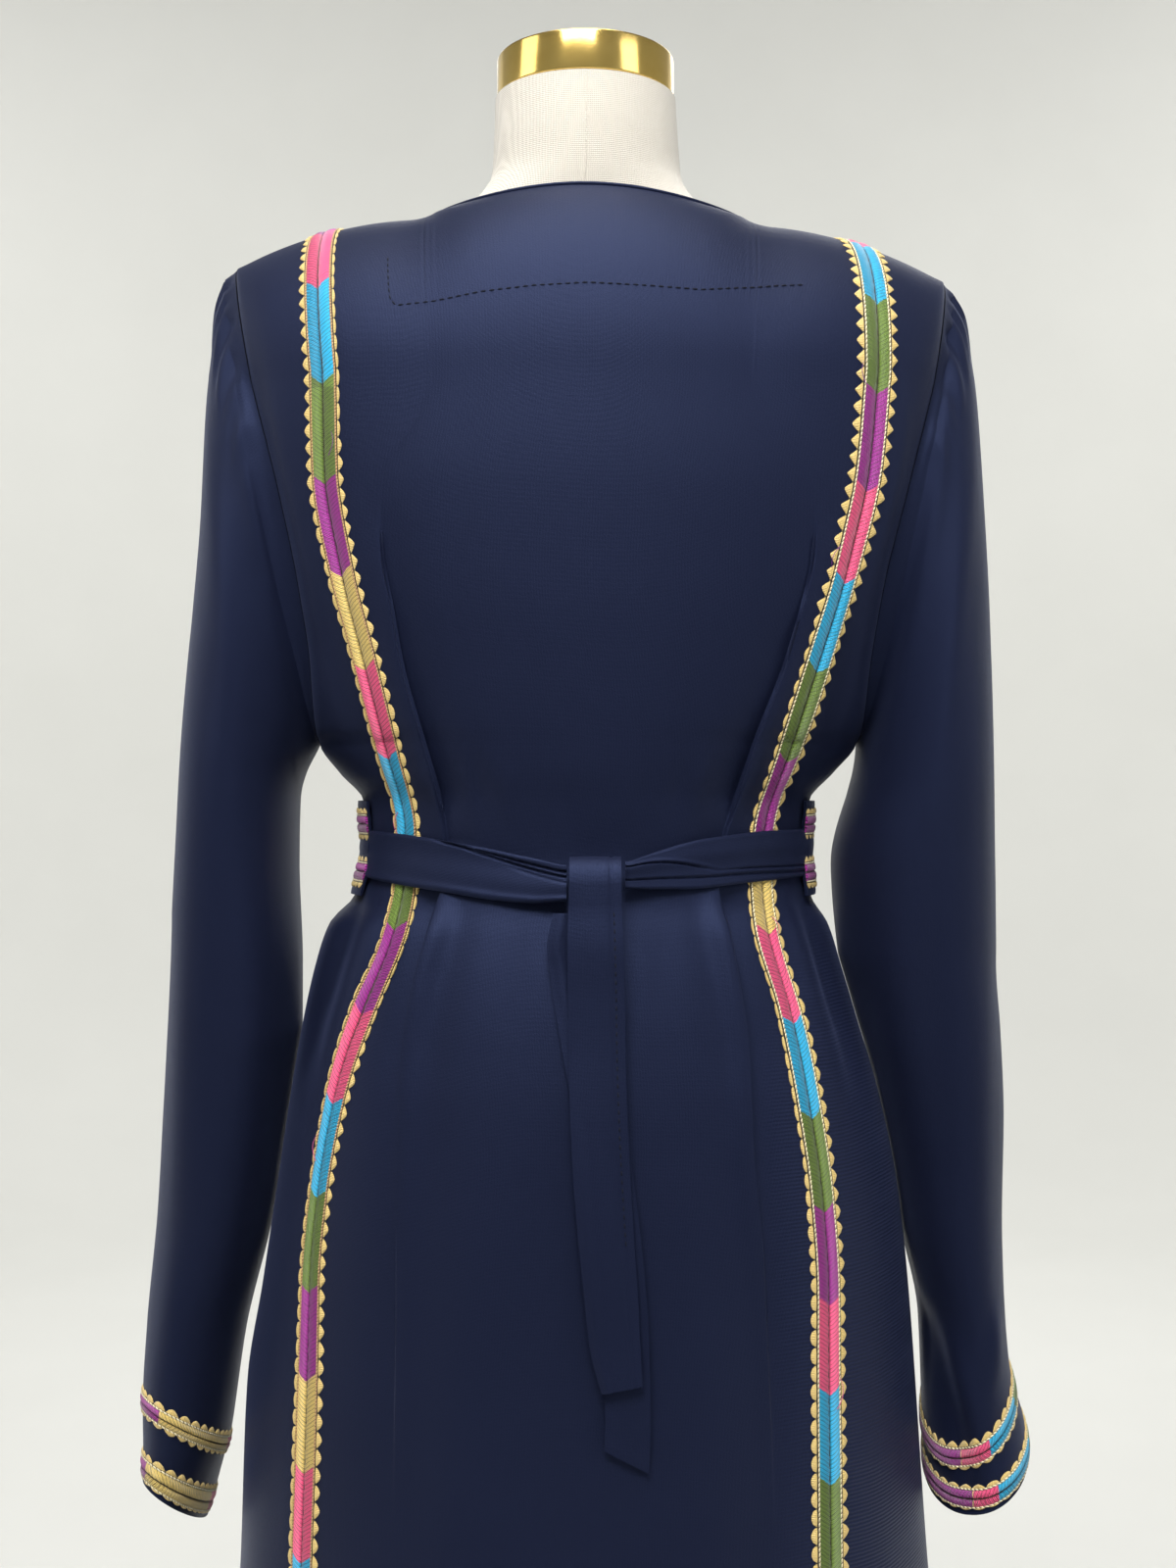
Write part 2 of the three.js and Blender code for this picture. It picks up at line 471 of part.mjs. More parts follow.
// ---------------------------------------------------------------- dress form and stand
function formSolid() {
  const n = 28, pos = [], idx = [];
  FORM.forEach((s) => {
    for (let i = 0; i < n; i++) {
      const a = (i * 2 * Math.PI) / n, c = Math.cos(a), u = Math.sin(a);
      const full = Math.sqrt(Math.max(0, 1 - Math.abs(u) ** s.p)) * (Math.abs(c) < 1e-9 ? 0 : 1);
      pos.push(s.x + u * s.half, c > 0 ? s.back * full : s.front * full, s.z);
    }
  });
  const rows = FORM.length;
  pos.push(FORM[0].x, 0, FORM[0].z, FORM[rows - 1].x, 0, FORM[rows - 1].z);
  for (let r = 0; r < rows - 1; r++)
    for (let i = 0; i < n; i++) {
      const a = r * n + i, b = r * n + ((i + 1) % n);
      idx.push(a, b, b + n, a, b + n, a + n);
    }
  for (let i = 0; i < n; i++) {
    const j = (i + 1) % n, top = (rows - 1) * n;
    idx.push(rows * n, j, i, rows * n + 1, top + i, top + j);
  }
  return facingOut(pos, idx);
}
const lathe = (profile, n) => new THREE.LatheGeometry(profile.map(([r, z]) => new THREE.Vector2(r, z)), n).rotateX(Math.PI / 2);

// ---------------------------------------------------------------- the object
const panels = { back: panel('back'), front: panel('front') };
const sleeves = { L: sleeve('L'), R: sleeve('R') };
const navy = () => new THREE.MeshStandardMaterial({ color: 0x23283f, roughness: 0.72, metalness: 0, side: THREE.DoubleSide });
const stitched = (hex) => new THREE.MeshStandardMaterial({ color: hex, roughness: 0.5, metalness: 0 });
const brass = () => new THREE.MeshStandardMaterial({ color: 0xc9a646, roughness: 0.18, metalness: 1 });
const linen = () => new THREE.MeshStandardMaterial({ color: 0xe6dfd0, roughness: 0.9, metalness: 0 });

const thobe = new THREE.Group();
function add(name, geometry, material) {
  const m = new THREE.Mesh(geometry, material);
  m.name = name;
  thobe.add(m);
  return m;
}

for (const face of ['back', 'front']) {
  const p = panels[face];
  add(face + '_panel', wall(p.points, p.normals, -CLOTH, 0), navy());
  for (const side of ['L', 'R']) {
    const [a, b] = BAND_COLS[side], cut = (g) => g.map((row) => row.slice(a, b + 1));
    add(`${face}_band_${side === 'L' ? 'left' : 'right'}`, wall(cut(p.points), cut(p.normals), SEAM, SEAM + BAND_WALL), stitched(0xc0508a));
  }
}
for (const side of ['L', 'R']) {
  const s = sleeves[side], name = side === 'L' ? 'left' : 'right';
  add('sleeve_' + name, wall(s.points, s.normals, -CLOTH, 0, true), navy());
  for (const band of CUFF_BANDS) {
    const cut = (g) => g.slice(band.from + 1, band.to + 2);
    add(`cuff_band_${band.name}_${name}`, wall(cut(s.points), cut(s.normals), SEAM, SEAM + BAND_WALL, true), stitched(0xd8b768));
  }
}
add('belt_front', beltStrip([1020, 1045, 1071], BELT_OFF, BELT_OFF + BELT_WALL), navy());
add('belt_band_lower', beltStrip([1024, 1041], BELT_OFF + BELT_WALL + SEAM, BELT_OFF + BELT_WALL + SEAM + BAND_WALL), stitched(0x8d3a86));
add('belt_band_upper', beltStrip([1050, 1067], BELT_OFF + BELT_WALL + SEAM, BELT_OFF + BELT_WALL + SEAM + BAND_WALL), stitched(0x8d3a86));
add('belt_tie_left', tie('L'), navy());
add('belt_tie_right', tie('R'), navy());
{
  const k = onBack(KNOT.x, KNOT.z).point;
  const ball = new THREE.SphereGeometry(1, 12, 8).scale(KNOT.rx, KNOT.ry, KNOT.rz);
  add('belt_knot', ball, navy()).position.set(KNOT.x, k.y - KNOT.lift, KNOT.z);
}
add('belt_tail_over', tail(TAIL_OVER, true), navy());
add('belt_tail_under', tail(TAIL_UNDER, false), navy());

add('form_body', formSolid(), linen());
add('neck_cap', lathe([[0, CAP.z0], [CAP.r - 0.8, CAP.z0], [CAP.r, CAP.z0 + 0.8], [CAP.r, CAP.z1 - 1.2], [CAP.r - 1.2, CAP.z1], [0, CAP.z1]], 48), brass())
  .position.set(CAP.x, 0, 0);
add('stand_disc', lathe([[0, STAND.poleTop - STAND.discT], [STAND.discR, STAND.poleTop - STAND.discT], [STAND.discR, STAND.poleTop + 3.5], [0, STAND.poleTop + 3.5]], 32), brass());
add('stand_pole', lathe([[0, STAND.baseT + 0.3], [STAND.poleR + 12, STAND.baseT + 0.3], [STAND.poleR + 12, STAND.baseT + 6], [STAND.poleR + 2, STAND.baseT + 26],
  [STAND.poleR, STAND.baseT + 28], [STAND.poleR, STAND.poleTop - STAND.discT - 0.3], [0, STAND.poleTop - STAND.discT - 0.3]], 24), brass());
add('stand_base', lathe([[0, 0], [STAND.baseR, 0], [STAND.baseR, STAND.baseT - 4], [STAND.baseR - 4, STAND.baseT], [0, STAND.baseT]], 56), brass());

export default thobe;
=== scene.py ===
import math
import bpy
import numpy as np
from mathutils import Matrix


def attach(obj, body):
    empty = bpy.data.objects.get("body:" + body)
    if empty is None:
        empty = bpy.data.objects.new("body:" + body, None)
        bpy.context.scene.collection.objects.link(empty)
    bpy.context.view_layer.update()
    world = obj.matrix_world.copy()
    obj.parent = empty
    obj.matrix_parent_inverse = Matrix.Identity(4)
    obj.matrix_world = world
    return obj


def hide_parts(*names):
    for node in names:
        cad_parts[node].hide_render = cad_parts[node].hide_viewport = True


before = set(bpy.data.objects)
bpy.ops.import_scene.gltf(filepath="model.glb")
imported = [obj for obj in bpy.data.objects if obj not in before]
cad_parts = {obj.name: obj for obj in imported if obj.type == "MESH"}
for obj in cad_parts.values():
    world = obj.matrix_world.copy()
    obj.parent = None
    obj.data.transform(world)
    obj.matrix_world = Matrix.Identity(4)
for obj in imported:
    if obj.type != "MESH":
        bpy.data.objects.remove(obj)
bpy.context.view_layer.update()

# A navy thobe with embroidered bands on a limbless dress form. Sizes in the tables are millimetres, in the
# part's own frame: +Z up, -Y the wearer's back, +X the wearer's right. Meshes are written in metres.
MM = 0.001
PI = math.pi


# ---------------------------------------------------------------- camera and light (first)
def look(obj, target):
    d = np.array(target, float) - np.array(obj.location)
    yaw = math.atan2(-d[0], d[1])
    pitch = math.atan2(d[2], math.hypot(d[0], d[1]))
    obj.rotation_euler = (math.pi / 2 + pitch, 0, yaw)


cam_data = bpy.data.cameras.new("camera")
cam = bpy.data.objects.new("camera", cam_data)
bpy.context.scene.collection.objects.link(cam)
cam.location = (-0.0011, -1.027, 1.080)
cam.rotation_euler = (math.pi / 2, 0, 0)
cam_data.lens = 42.75
cam_data.sensor_width = 36
cam_data.clip_start = 0.01
cam_data.clip_end = 60
bpy.context.scene.camera = cam
bpy.context.scene.view_settings.view_transform = "Standard"
bpy.context.scene.view_settings.look = "None"


def area_light(name, place, target, size, power, tint=(1, 1, 1), spread=180):
    data = bpy.data.lights.new(name, "AREA")
    data.spread = math.radians(spread)
    data.shape = "RECTANGLE"
    data.size, data.size_y = size
    data.energy = power
    data.color = tint
    o = bpy.data.objects.new(name, data)
    bpy.context.scene.collection.objects.link(o)
    o.location = place
    look(o, target)
    o.visible_camera = False
    return o


area_light("key", (-0.2, -1.3, 2.6), (0, 0, 1.15), (1.2, 0.9), 60, (1.0, 0.99, 0.98))
area_light("top", (0, -0.3, 3.0), (0, 0, 1.3), (1.3, 0.9), 20)
area_light("fill_right", (2.6, -1.6, 2.0), (0, 0, 1.0), (1.2, 1.8), 19, (0.97, 0.98, 1.0))
area_light("fill_left", (-2.8, -0.6, 2.1), (0, 0, 1.0), (1.2, 1.8), 17)
area_light("front", (0.5, 3.0, 2.8), (0, 0, 0.9), (2.4, 1.8), 30)
area_light("backdrop_left", (-2.0, 2.4, 3.0), (-0.8, 5.0, 1.0), (2.4, 1.6), 36)
area_light("backdrop_right", (2.0, 2.4, 3.0), (0.8, 5.0, 1.0), (2.4, 1.6), 36)
world = bpy.data.worlds.new("studio")
bpy.context.scene.world = world
world.use_nodes = True
world.node_tree.nodes["Background"].inputs["Color"].default_value = (0.93, 0.93, 0.90, 1)
world.node_tree.nodes["Background"].inputs["Strength"].default_value = 0.28


# ---------------------------------------------------------------- small tools
class Curve:
    """Smooth, never overshooting value by a key column (Fritsch-Carlson cubic)."""

    def __init__(self, X, Y):
        X, Y = np.asarray(X, float), np.asarray(Y, float)
        d = np.diff(Y) / np.diff(X)
        m = np.empty(len(X))
        m[0], m[-1] = d[0], d[-1]
        for i in range(1, len(X) - 1):
            if d[i - 1] * d[i] <= 0:
                m[i] = 0
            else:
                a, b = X[i] - X[i - 1], X[i + 1] - X[i]
                m[i] = 3 * (a + b) / ((2 * b + a) / d[i - 1] + (b + 2 * a) / d[i])
        self.X, self.Y, self.m = X, Y, m

    def __call__(self, x):
        X, Y, m = self.X, self.Y, self.m
        x = np.clip(x, X[0], X[-1])
        k = np.clip(np.searchsorted(X, x, side="right") - 1, 0, len(X) - 2)
        h = X[k + 1] - X[k]
        t = (x - X[k]) / h
        return ((1 + 2 * t) * (1 - t) ** 2 * Y[k] + t * (1 - t) ** 2 * h * m[k]
                + t * t * (3 - 2 * t) * Y[k + 1] + t * t * (t - 1) * h * m[k + 1])


def table(names, rows, key=0):
    rows = sorted(rows, key=lambda r: r[key])
    cols = list(zip(*rows))
    return {n: Curve(cols[key], c) for n, c in zip(names, cols)}


def lerp(a, b, t):
    return a + (b - a) * t


def smooth(x):
    x = np.clip(x, 0, 1)
    return x * x * (3 - 2 * x)


def unit(v):
    return v / np.maximum(np.linalg.norm(v, axis=-1, keepdims=True), 1e-12)


# ---------------------------------------------------------------- sizes and sections, as in the part's source
ARMPIT_Z, BLADE_Z = 1103.0, 1291.0
SHOULDER_X, SHOULDER_Z = 192.5, 1358.5
NECK_X, NECK_Z = 88.0, 1386.0
NECKS = {"back": (-58.0, 1392.5, 2.0), "front": (75.0, 1335.0, 1.1)}
TILT = 0.0195
ARM_MID, ARM_HALF, ARM_DEPTH = 1231.5, 128.5, {"back": 51.0, "front": 44.0}
BAND_TOP = 142.0
HEM_Z = 70.0
TURN = 100.0     # a panel's v runs up to BLADE_Z by height, and on by this much over the shoulder

BODY = table(['z', 'left', 'right', 'side', 'back', 'backP', 'front', 'frontP'], [
    [70, 238, 234, 0, -196, 2.1, 190, 2.1],
    [300, 221, 217, 0, -171, 2.1, 167, 2.1],
    [500, 206, 199, 0, -149, 2.15, 146, 2.1],
    [648, 191.5, 184.5, 0, -134, 2.2, 131, 2.2],
    [756, 187.5, 178, 0, -124, 2.25, 121, 2.2],
    [810, 179, 174, 0, -120, 2.25, 114, 2.2],
    [864, 171, 168, 0, -116, 2.25, 109, 2.2],
    [918, 163, 156.5, 0, -110, 2.25, 104, 2.2],
    [950, 157.5, 147, 0, -104.5, 2.2, 100, 2.2],
    [982, 150.5, 137.5, 0, -97, 2.2, 95, 2.2],
    [1004, 143, 130.5, 0, -90, 2.2, 91, 2.2],
    [1020, 128.5, 121, 0, -84, 2.2, 88, 2.2],
    [1045, 122.5, 118.5, 0, -80, 2.2, 86, 2.2],
    [1071, 124.5, 120.5, 0, -82.5, 2.2, 89, 2.2],
    [1086, 137.5, 133.5, 0, -85, 2.2, 95, 2.2],
    [1103, 148.5, 146.5, 0, -86.5, 2.3, 101, 2.2],
    [1140, 148.5, 148.5, 0, -89, 2.4, 111, 2.2],
    [1182, 153, 154, 0, -91, 2.5, 118, 2.2],
    [1233, 163, 166, 0, -92, 2.5, 114, 2.2],
    [1291, 178, 181, 0, -90, 2.5, 98, 2.2],
])
BANDS = table(['z', 'backL', 'backR', 'frontL', 'frontR'], [
    [70, -153, 127, -150, 150],
    [400, -149, 122, -140, 140],
    [600, -146.3, 119.5, -130, 130],
    [692, -145, 119, -126, 126],
    [737, -143.9, 119.2, -124, 124],
    [781, -143.2, 119.4, -122, 122],
    [825, -143.0, 119.8, -119, 119],
    [871, -139.3, 117.2, -115, 115],
    [920, -130.3, 110.5, -111, 111],
    [964, -116.9, 102.6, -106, 106],
    [1008, -100.7, 91.3, -101, 101],
    [1031, -96.8, 89.4, -98, 98],
    [1055, -96.2, 90.5, -98, 98],
    [1097, -104.4, 102.4, -103, 103],
    [1143, -114.9, 116.3, -112, 112],
    [1189, -126.6, 130.6, -122, 122],
    [1239, -135.2, 142.2, -132, 132],
    [1291, -136.4, 147.3, -139, 139],
])
FLUTES = [  # angle round from the centre back, half width, depth at the hem, height where it starts
    (-63, 17, 13, 800), (-34, 14, 10, 690), (-6, 15, 12, 650), (22, 13, 9, 700), (50, 16, 13, 790),
    (82, 15, 11, 740), (112, 16, 13, 770), (141, 14, 10, 690), (171, 15, 11, 650), (202, 14, 12, 700),
    (231, 15, 11, 760), (263, 15, 12, 780),
]
SLEEVE_COLS = ['k', 'xo', 'zo', 'xi', 'zi', 'y', 'half', 'dip']
SLEEVES = {
    -1: table(SLEEVE_COLS, [[k, *r] for k, r in enumerate([
        [199.5, 1358, 149.6, 1101.0, 2, 51, 0],
        [205.0, 1341, 150.8, 1098.6, 2, 52, 0],
        [208.6, 1300, 152.4, 1095.6, 2, 54, 0],
        [212.2, 1236, 154.8, 1091.4, 2, 56.5, 0],
        [218.0, 1168, 157.8, 1085.0, 2, 57.5, 0],
        [223.4, 1100, 161.0, 1071.0, 2, 58, 0],
        [226.6, 1040, 161.6, 1036.0, 2, 57, 0],
        [229.9, 984, 159.6, 982.0, 2, 55, 0],
        [232.3, 948, 159.6, 945.0, 2, 53.5, 0],
        [235.3, 900, 167.8, 895.0, 3, 52, 0],
        [238.2, 846, 176.4, 840.0, 3, 50.5, -2],
        [242.4, 788, 191.0, 780.0, 2, 49, -8],
        [243.6, 750, 199.5, 723.8, 0, 48, -15.7],
        [243.6, 735.7, 203.2, 710.3, 0, 48, -15.8],
        [243.2, 715.7, 208.0, 694.0, 0, 47, -17.4],
        [242.8, 700.5, 213.2, 677.8, 0, 46, -17],
        [242.6, 698, 213.8, 675.4, 0, 46, -17],
    ])]),
    1: table(SLEEVE_COLS, [[k, *r] for k, r in enumerate([
        [198.5, 1350.5, 147.4, 1101.4, 2, 51, 0],
        [205.0, 1338, 147.8, 1099.6, 2, 52, 0],
        [210.8, 1300, 148.0, 1097.4, 2, 54, 0],
        [215.4, 1240, 147.6, 1094.0, 2, 56.5, 0],
        [219.0, 1172, 146.0, 1086.0, 2, 57.5, 0],
        [220.8, 1100, 142.6, 1074.0, 2, 58, 0],
        [221.6, 1040, 133.6, 1036.0, 2, 58, 0],
        [222.2, 985, 138.2, 982.0, 2, 56.5, 0],
        [225.2, 947, 148.0, 945.0, 2, 54.5, 0],
        [227.4, 897, 162.0, 895.0, 3, 53, 0],
        [226.8, 840, 172.0, 840.0, 3, 51, 0],
        [227.6, 792, 182.6, 785.0, 2, 49.5, 3],
        [229.4, 766, 184.3, 731.5, 0, 50, 9.5],
        [232.6, 752, 184.5, 718.5, -1, 50, 11.5],
        [236.8, 737, 184.8, 712.0, -2, 50, 9.5],
        [238.6, 723.5, 185.2, 699.0, -2, 49.5, 9.5],
        [238.4, 721, 185.4, 696.5, -2, 49.5, 9.5],
    ])]),
}
PLEATS = table(['z', 'left', 'right', 'depth'], [
    [70, -98, 98, 0],
    [700, -97, 92, 0.0],
    [840, -96, 86, 1.2],
    [900, -95, 80, 2.6],
    [945, -93, 78, 4.2],
    [982, -87, 73, 5.4],
    [1004, -81, 69, 5.8],
    [1020, -77.5, 66, 5.2],
    [1045, -75, 68, 4.6],
    [1071, -78, 75.5, 4.2],
    [1103, -86, 85.5, 3.4],
    [1140, -96, 99.5, 2.4],
    [1169, -101, 108, 1.5],
    [1198, -106, 114, 0.7],
    [1225, -107, 115, 0],
    [1291, -106, 116, 0],
])
FORM = table(['z', 'x', 'half', 'back', 'front', 'p'], [
    [826, 0, 157, -94, 88, 2.2],
    [832, 0, 161, -98, 91, 2.2],
    [872, 0, 161, -104, 95, 2.2],
    [918, 0, 149, -101, 93, 2.2],
    [950, 0, 139, -95, 89, 2.2],
    [982, 0, 129, -86, 84, 2.2],
    [1012, 0, 117, -77, 79, 2.2],
    [1045, 0, 111, -71, 76, 2.2],
    [1075, 0, 113, -71, 78, 2.2],
    [1103, 0, 120, -74, 86, 2.2],
    [1150, 0, 129, -80, 101, 2.2],
    [1195, 0, 137, -84, 109, 2.2],
    [1245, 0, 148, -85, 102, 2.2],
    [1291, 0, 164, -82, 86, 2.2],
    [1318, 0, 173, -77, 76, 1.9],
    [1338, 0, 175, -71, 67, 1.7],
    [1350, -0.2, 167, -66, 60, 1.5],
    [1360, -0.4, 153, -62, 54, 1.4],
    [1366, -0.6, 138, -60, 51, 1.3],
    [1372, -0.8, 115, -57, 38, 1.25],
    [1377, -1.0, 95, -53, 34, 1.3],
    [1382, -2.0, 78, -49, 34, 1.5],
    [1388, -3.0, 72, -47, 37, 1.8],
    [1395, -3.0, 65.5, -47, 42, 2.0],
    [1404, -2.5, 57, -47.5, 44, 2.0],
    [1413, -2.0, 52.3, -48, 46, 2.0],
    [1435, -2.2, 50.6, -48.8, 46.8, 2.0],
    [1456, -2.5, 49.6, -48.4, 47, 2.0],
])
TIES = {
    -1: table(['x', 'z', 'half', 'lift'], [[-124, 1043, 11, 2.2], [-90, 1039, 12, 2.2], [-55, 1034.5, 12, 2.6],
                                          [-30, 1031, 11, 5.0], [-13.5, 1029, 9, 8.5]]),
    1: table(['x', 'z', 'half', 'lift'], [[19.0, 1033, 7, 8.5], [34, 1036, 9.5, 5.0], [60, 1039.5, 12, 2.6],
                                         [90, 1042.5, 12, 2.2], [122, 1043.5, 11, 2.2]]),
}
KNOT = {"x": 2.8, "lift": 12.4, "z": 1029, "rx": 12.4, "ry": 7.6, "rz": 11.6}
TAIL_OVER = table(['z', 'x', 'half', 'lift'], [
    [1020, 2.4, 13.2, 19.2], [1000, 2.6, 13.8, 15.2], [975, 3.0, 14, 9.5], [945, 3.4, 14, 6.2], [900, 5.0, 14, 5.4],
    [860, 7.6, 13.6, 5.4], [830, 10.2, 13.0, 5.4], [808, 12.0, 12.2, 5.6], [788, 15.4, 9.8, 6.4]])
TAIL_UNDER = table(['z', 'x', 'half', 'lift'], [
    [1015, -8, 10.5, 9.0], [1000, -10, 11.5, 6.0], [985, -7.5, 12.5, 3.0], [960, -3, 13, 2.0], [920, 4, 13, 2.0],
    [880, 9.5, 12.6, 2.0], [840, 14.5, 12, 2.0], [800, 17.6, 11.2, 2.0], [770, 18.2, 10.9, 2.0], [752, 17.6, 10.8, 2.0]])

# Soft folds, each with its rise (a trough is negative), its width on either side, and its line as x, z.
BACK_FOLDS = [
    # beside the armholes, from the shoulder towards the underarm
    (2.2, 7, 12, [(-165, 1290), (-160, 1240), (-151, 1190), (-146, 1140)]),
    (-1.8, 6, 8, [(-172, 1262), (-163, 1200), (-152, 1150)]),
    (1.3, 8, 14, [(-122, 1215), (-118, 1165), (-108, 1110), (-100, 1078)]),
    (-1.4, 7, 10, [(-138, 1180), (-128, 1130), (-116, 1088)]),
    (2.0, 10, 7, [(162, 1275), (160, 1225), (154, 1175), (147, 1130)]),
    (-1.7, 8, 6, [(170, 1250), (163, 1195), (153, 1145)]),
    (1.5, 12, 8, [(128, 1205), (122, 1155), (112, 1105), (103, 1075)]),
    (-1.3, 8, 7, [(140, 1170), (132, 1125), (121, 1086)]),
    # drawn in by the belt, above it
    (-1.2, 4, 6, [(-60, 1098), (-56, 1072), (-53, 1052)]),
    (1.0, 5, 7, [(-44, 1092), (-42, 1068), (-41, 1052)]),
    (-0.9, 5, 6, [(46, 1090), (44, 1068), (43, 1054)]),
    (1.0, 6, 5, [(58, 1096), (55, 1070), (52, 1054)]),
    (-0.8, 5, 5, [(-14, 1078), (-12, 1062), (-12, 1050)]),
    (0.7, 6, 5, [(18, 1080), (18, 1062), (18, 1050)]),
    # below it
    (1.6, 8, 10, [(-112, 1020), (-122, 985), (-134, 945), (-142, 905)]),
    (-1.8, 5, 7, [(-104, 1020), (-112, 985), (-119, 950)]),
    (-4.0, 5, 8, [(-124, 1018), (-136, 985), (-146, 955), (-152, 920)]),
    (0.6, 9, 12, [(-56, 1018), (-60, 985), (-66, 945), (-72, 905)]),
    (-0.35, 9, 10, [(-36, 1016), (-40, 985), (-45, 955)]),
    (0.6, 12, 9, [(50, 1020), (54, 985), (60, 940), (66, 890)]),
    (-0.35, 9, 8, [(34, 1018), (36, 985), (40, 955)]),
    (1.5, 8, 7, [(103, 1022), (112, 985), (121, 945), (128, 900)]),
    (-1.8, 6, 6, [(96, 1022), (103, 990), (110, 955)]),
    (-4.0, 6, 5, [(112, 1020), (124, 985), (135, 950), (143, 915)]),
    # long soft lines of the skirt
    (1.4, 16, 22, [(-58, 900), (-64, 800), (-66, 690), (-60, 560)]),
    (-1.3, 14, 18, [(-30, 880), (-34, 780), (-36, 660)]),
    (1.2, 16, 18, [(46, 880), (52, 780), (56, 670), (58, 560)]),
    (-1.2, 14, 16, [(84, 860), (88, 760), (90, 660)]),
]
FRONT_FOLDS = [
    (2.4, 9, 12, [(-158, 1280), (-150, 1215), (-146, 1150)]),
    (-1.8, 7, 9, [(-168, 1250), (-158, 1190), (-150, 1135)]),
    (2.2, 12, 9, [(160, 1270), (152, 1205), (147, 1145)]),
    (-1.8, 8, 7, [(168, 1245), (158, 1185), (150, 1132)]),
    (1.8, 9, 14, [(-96, 1130), (-92, 1100), (-88, 1076)]),
    (-1.8, 7, 9, [(-74, 1128), (-71, 1098), (-69, 1074)]),
    (1.6, 8, 9, [(-50, 1134), (-48, 1102), (-47, 1076)]),
    (-1.5, 7, 8, [(-24, 1120), (-23, 1096), (-23, 1075)]),
    (1.3, 8, 8, [(3, 1126), (2, 1098), (2, 1076)]),
    (-1.6, 8, 7, [(28, 1124), (27, 1097), (26, 1075)]),
    (1.7, 9, 8, [(54, 1132), (52, 1102), (50, 1076)]),
    (-1.8, 8, 7, [(78, 1126), (76, 1098), (74, 1075)]),
    (1.6, 12, 9, [(98, 1134), (95, 1102), (91, 1077)]),
    (-2.0, 7, 9, [(-84, 1018), (-88, 980), (-94, 930)]),
    (1.8, 8, 12, [(-62, 1018), (-66, 975), (-72, 915)]),
    (-1.6, 7, 9, [(-36, 1018), (-39, 980), (-43, 930)]),
    (1.4, 9, 10, [(-8, 1018), (-9, 970), (-11, 900)]),
    (-1.5, 8, 8, [(20, 1018), (22, 980), (24, 930)]),
    (1.8, 11, 8, [(50, 1018), (54, 972), (60, 905)]),
    (-2.0, 9, 7, [(80, 1018), (85, 980), (91, 930)]),
    (1.8, 10, 9, [(112, 1018), (121, 975), (130, 915)]),
    (1.8, 9, 10, [(-114, 1018), (-123, 975), (-132, 915)]),
    (1.5, 18, 24, [(-50, 900), (-56, 790), (-58, 660)]),
    (-1.3, 16, 20, [(-4, 880), (-5, 770), (-4, 640)]),
    (1.4, 20, 20, [(52, 890), (58, 780), (60, 650)]),
]
# Folds of the sleeves, as x, z on the back half; the front half has its own.
SLEEVE_FOLDS = {
    (-1, "back"): [
        (2.6, 7, 13, [(-186, 1292), (-178, 1240), (-168, 1190), (-162, 1140), (-160, 1100)]),
        (-2.0, 6, 9, [(-176, 1262), (-168, 1215), (-158, 1160)]),
        (1.7, 10, 16, [(-204, 1300), (-199, 1240), (-190, 1180), (-182, 1110)]),
        (-1.4, 9, 12, [(-193, 1250), (-186, 1190), (-178, 1130), (-172, 1075)]),
        (1.5, 14, 18, [(-208, 1150), (-209, 1060), (-212, 960), (-216, 870)]),
        (-1.3, 12, 14, [(-190, 1080), (-192, 990), (-198, 900), (-206, 820)]),
        (1.4, 12, 10, [(-176, 1040), (-178, 960), (-186, 880), (-198, 800)]),
        (-1.2, 10, 9, [(-226, 1000), (-228, 920), (-230, 840), (-232, 780)]),
        (1.0, 9, 9, [(-219, 830), (-222, 780), (-225, 740)]),
    ],
    (-1, "front"): [
        (2.4, 9, 13, [(-182, 1290), (-172, 1230), (-162, 1160), (-160, 1110)]),
        (-1.8, 8, 9, [(-192, 1262), (-184, 1195), (-176, 1120)]),
        (1.6, 14, 18, [(-206, 1160), (-208, 1050), (-212, 940)]),
        (-1.4, 12, 14, [(-188, 1070), (-192, 970), (-202, 860)]),
        (1.3, 12, 10, [(-178, 1010), (-184, 900), (-198, 800)]),
    ],
    (1, "back"): [
        (2.4, 12, 6, [(188, 1290), (181, 1240), (173, 1190), (163, 1140), (156, 1105)]),
        (-2.2, 8, 7, [(180, 1250), (171, 1200), (160, 1150), (154, 1115)]),
        (2.0, 14, 9, [(203, 1296), (199, 1240), (190, 1180), (180, 1110), (172, 1060)]),
        (-1.5, 11, 9, [(194, 1240), (186, 1180), (176, 1120), (168, 1060)]),
        (1.6, 17, 13, [(206, 1140), (205, 1050), (206, 960), (209, 880)]),
        (-1.5, 12, 12, [(178, 1050), (180, 980), (186, 900), (194, 830)]),
        (1.5, 10, 12, [(158, 1010), (163, 940), (174, 870), (186, 800)]),
        (-1.1, 9, 10, [(218, 980), (218, 900), (220, 820), (224, 775)]),
        # the sharp crease that runs down to the cuff's lowest point, and the light fold beside it
        (-3.2, 5, 7, [(182, 795), (187, 770), (192, 745), (197, 720), (199, 700)]),
        (2.0, 5, 6, [(190, 790), (195, 764), (200, 742)]),
        (1.9, 5, 5, [(215, 800), (214, 778), (213, 762)]),
    ],
    (1, "front"): [
        (2.4, 13, 9, [(184, 1288), (174, 1230), (162, 1160), (156, 1110)]),
        (-1.8, 9, 8, [(192, 1260), (184, 1195), (172, 1120)]),
        (1.6, 18, 14, [(205, 1150), (204, 1050), (206, 940)]),
        (-1.4, 14, 12, [(178, 1060), (182, 960), (192, 860)]),
        (1.3, 10, 12, [(162, 1000), (172, 900), (186, 800)]),
    ],
}


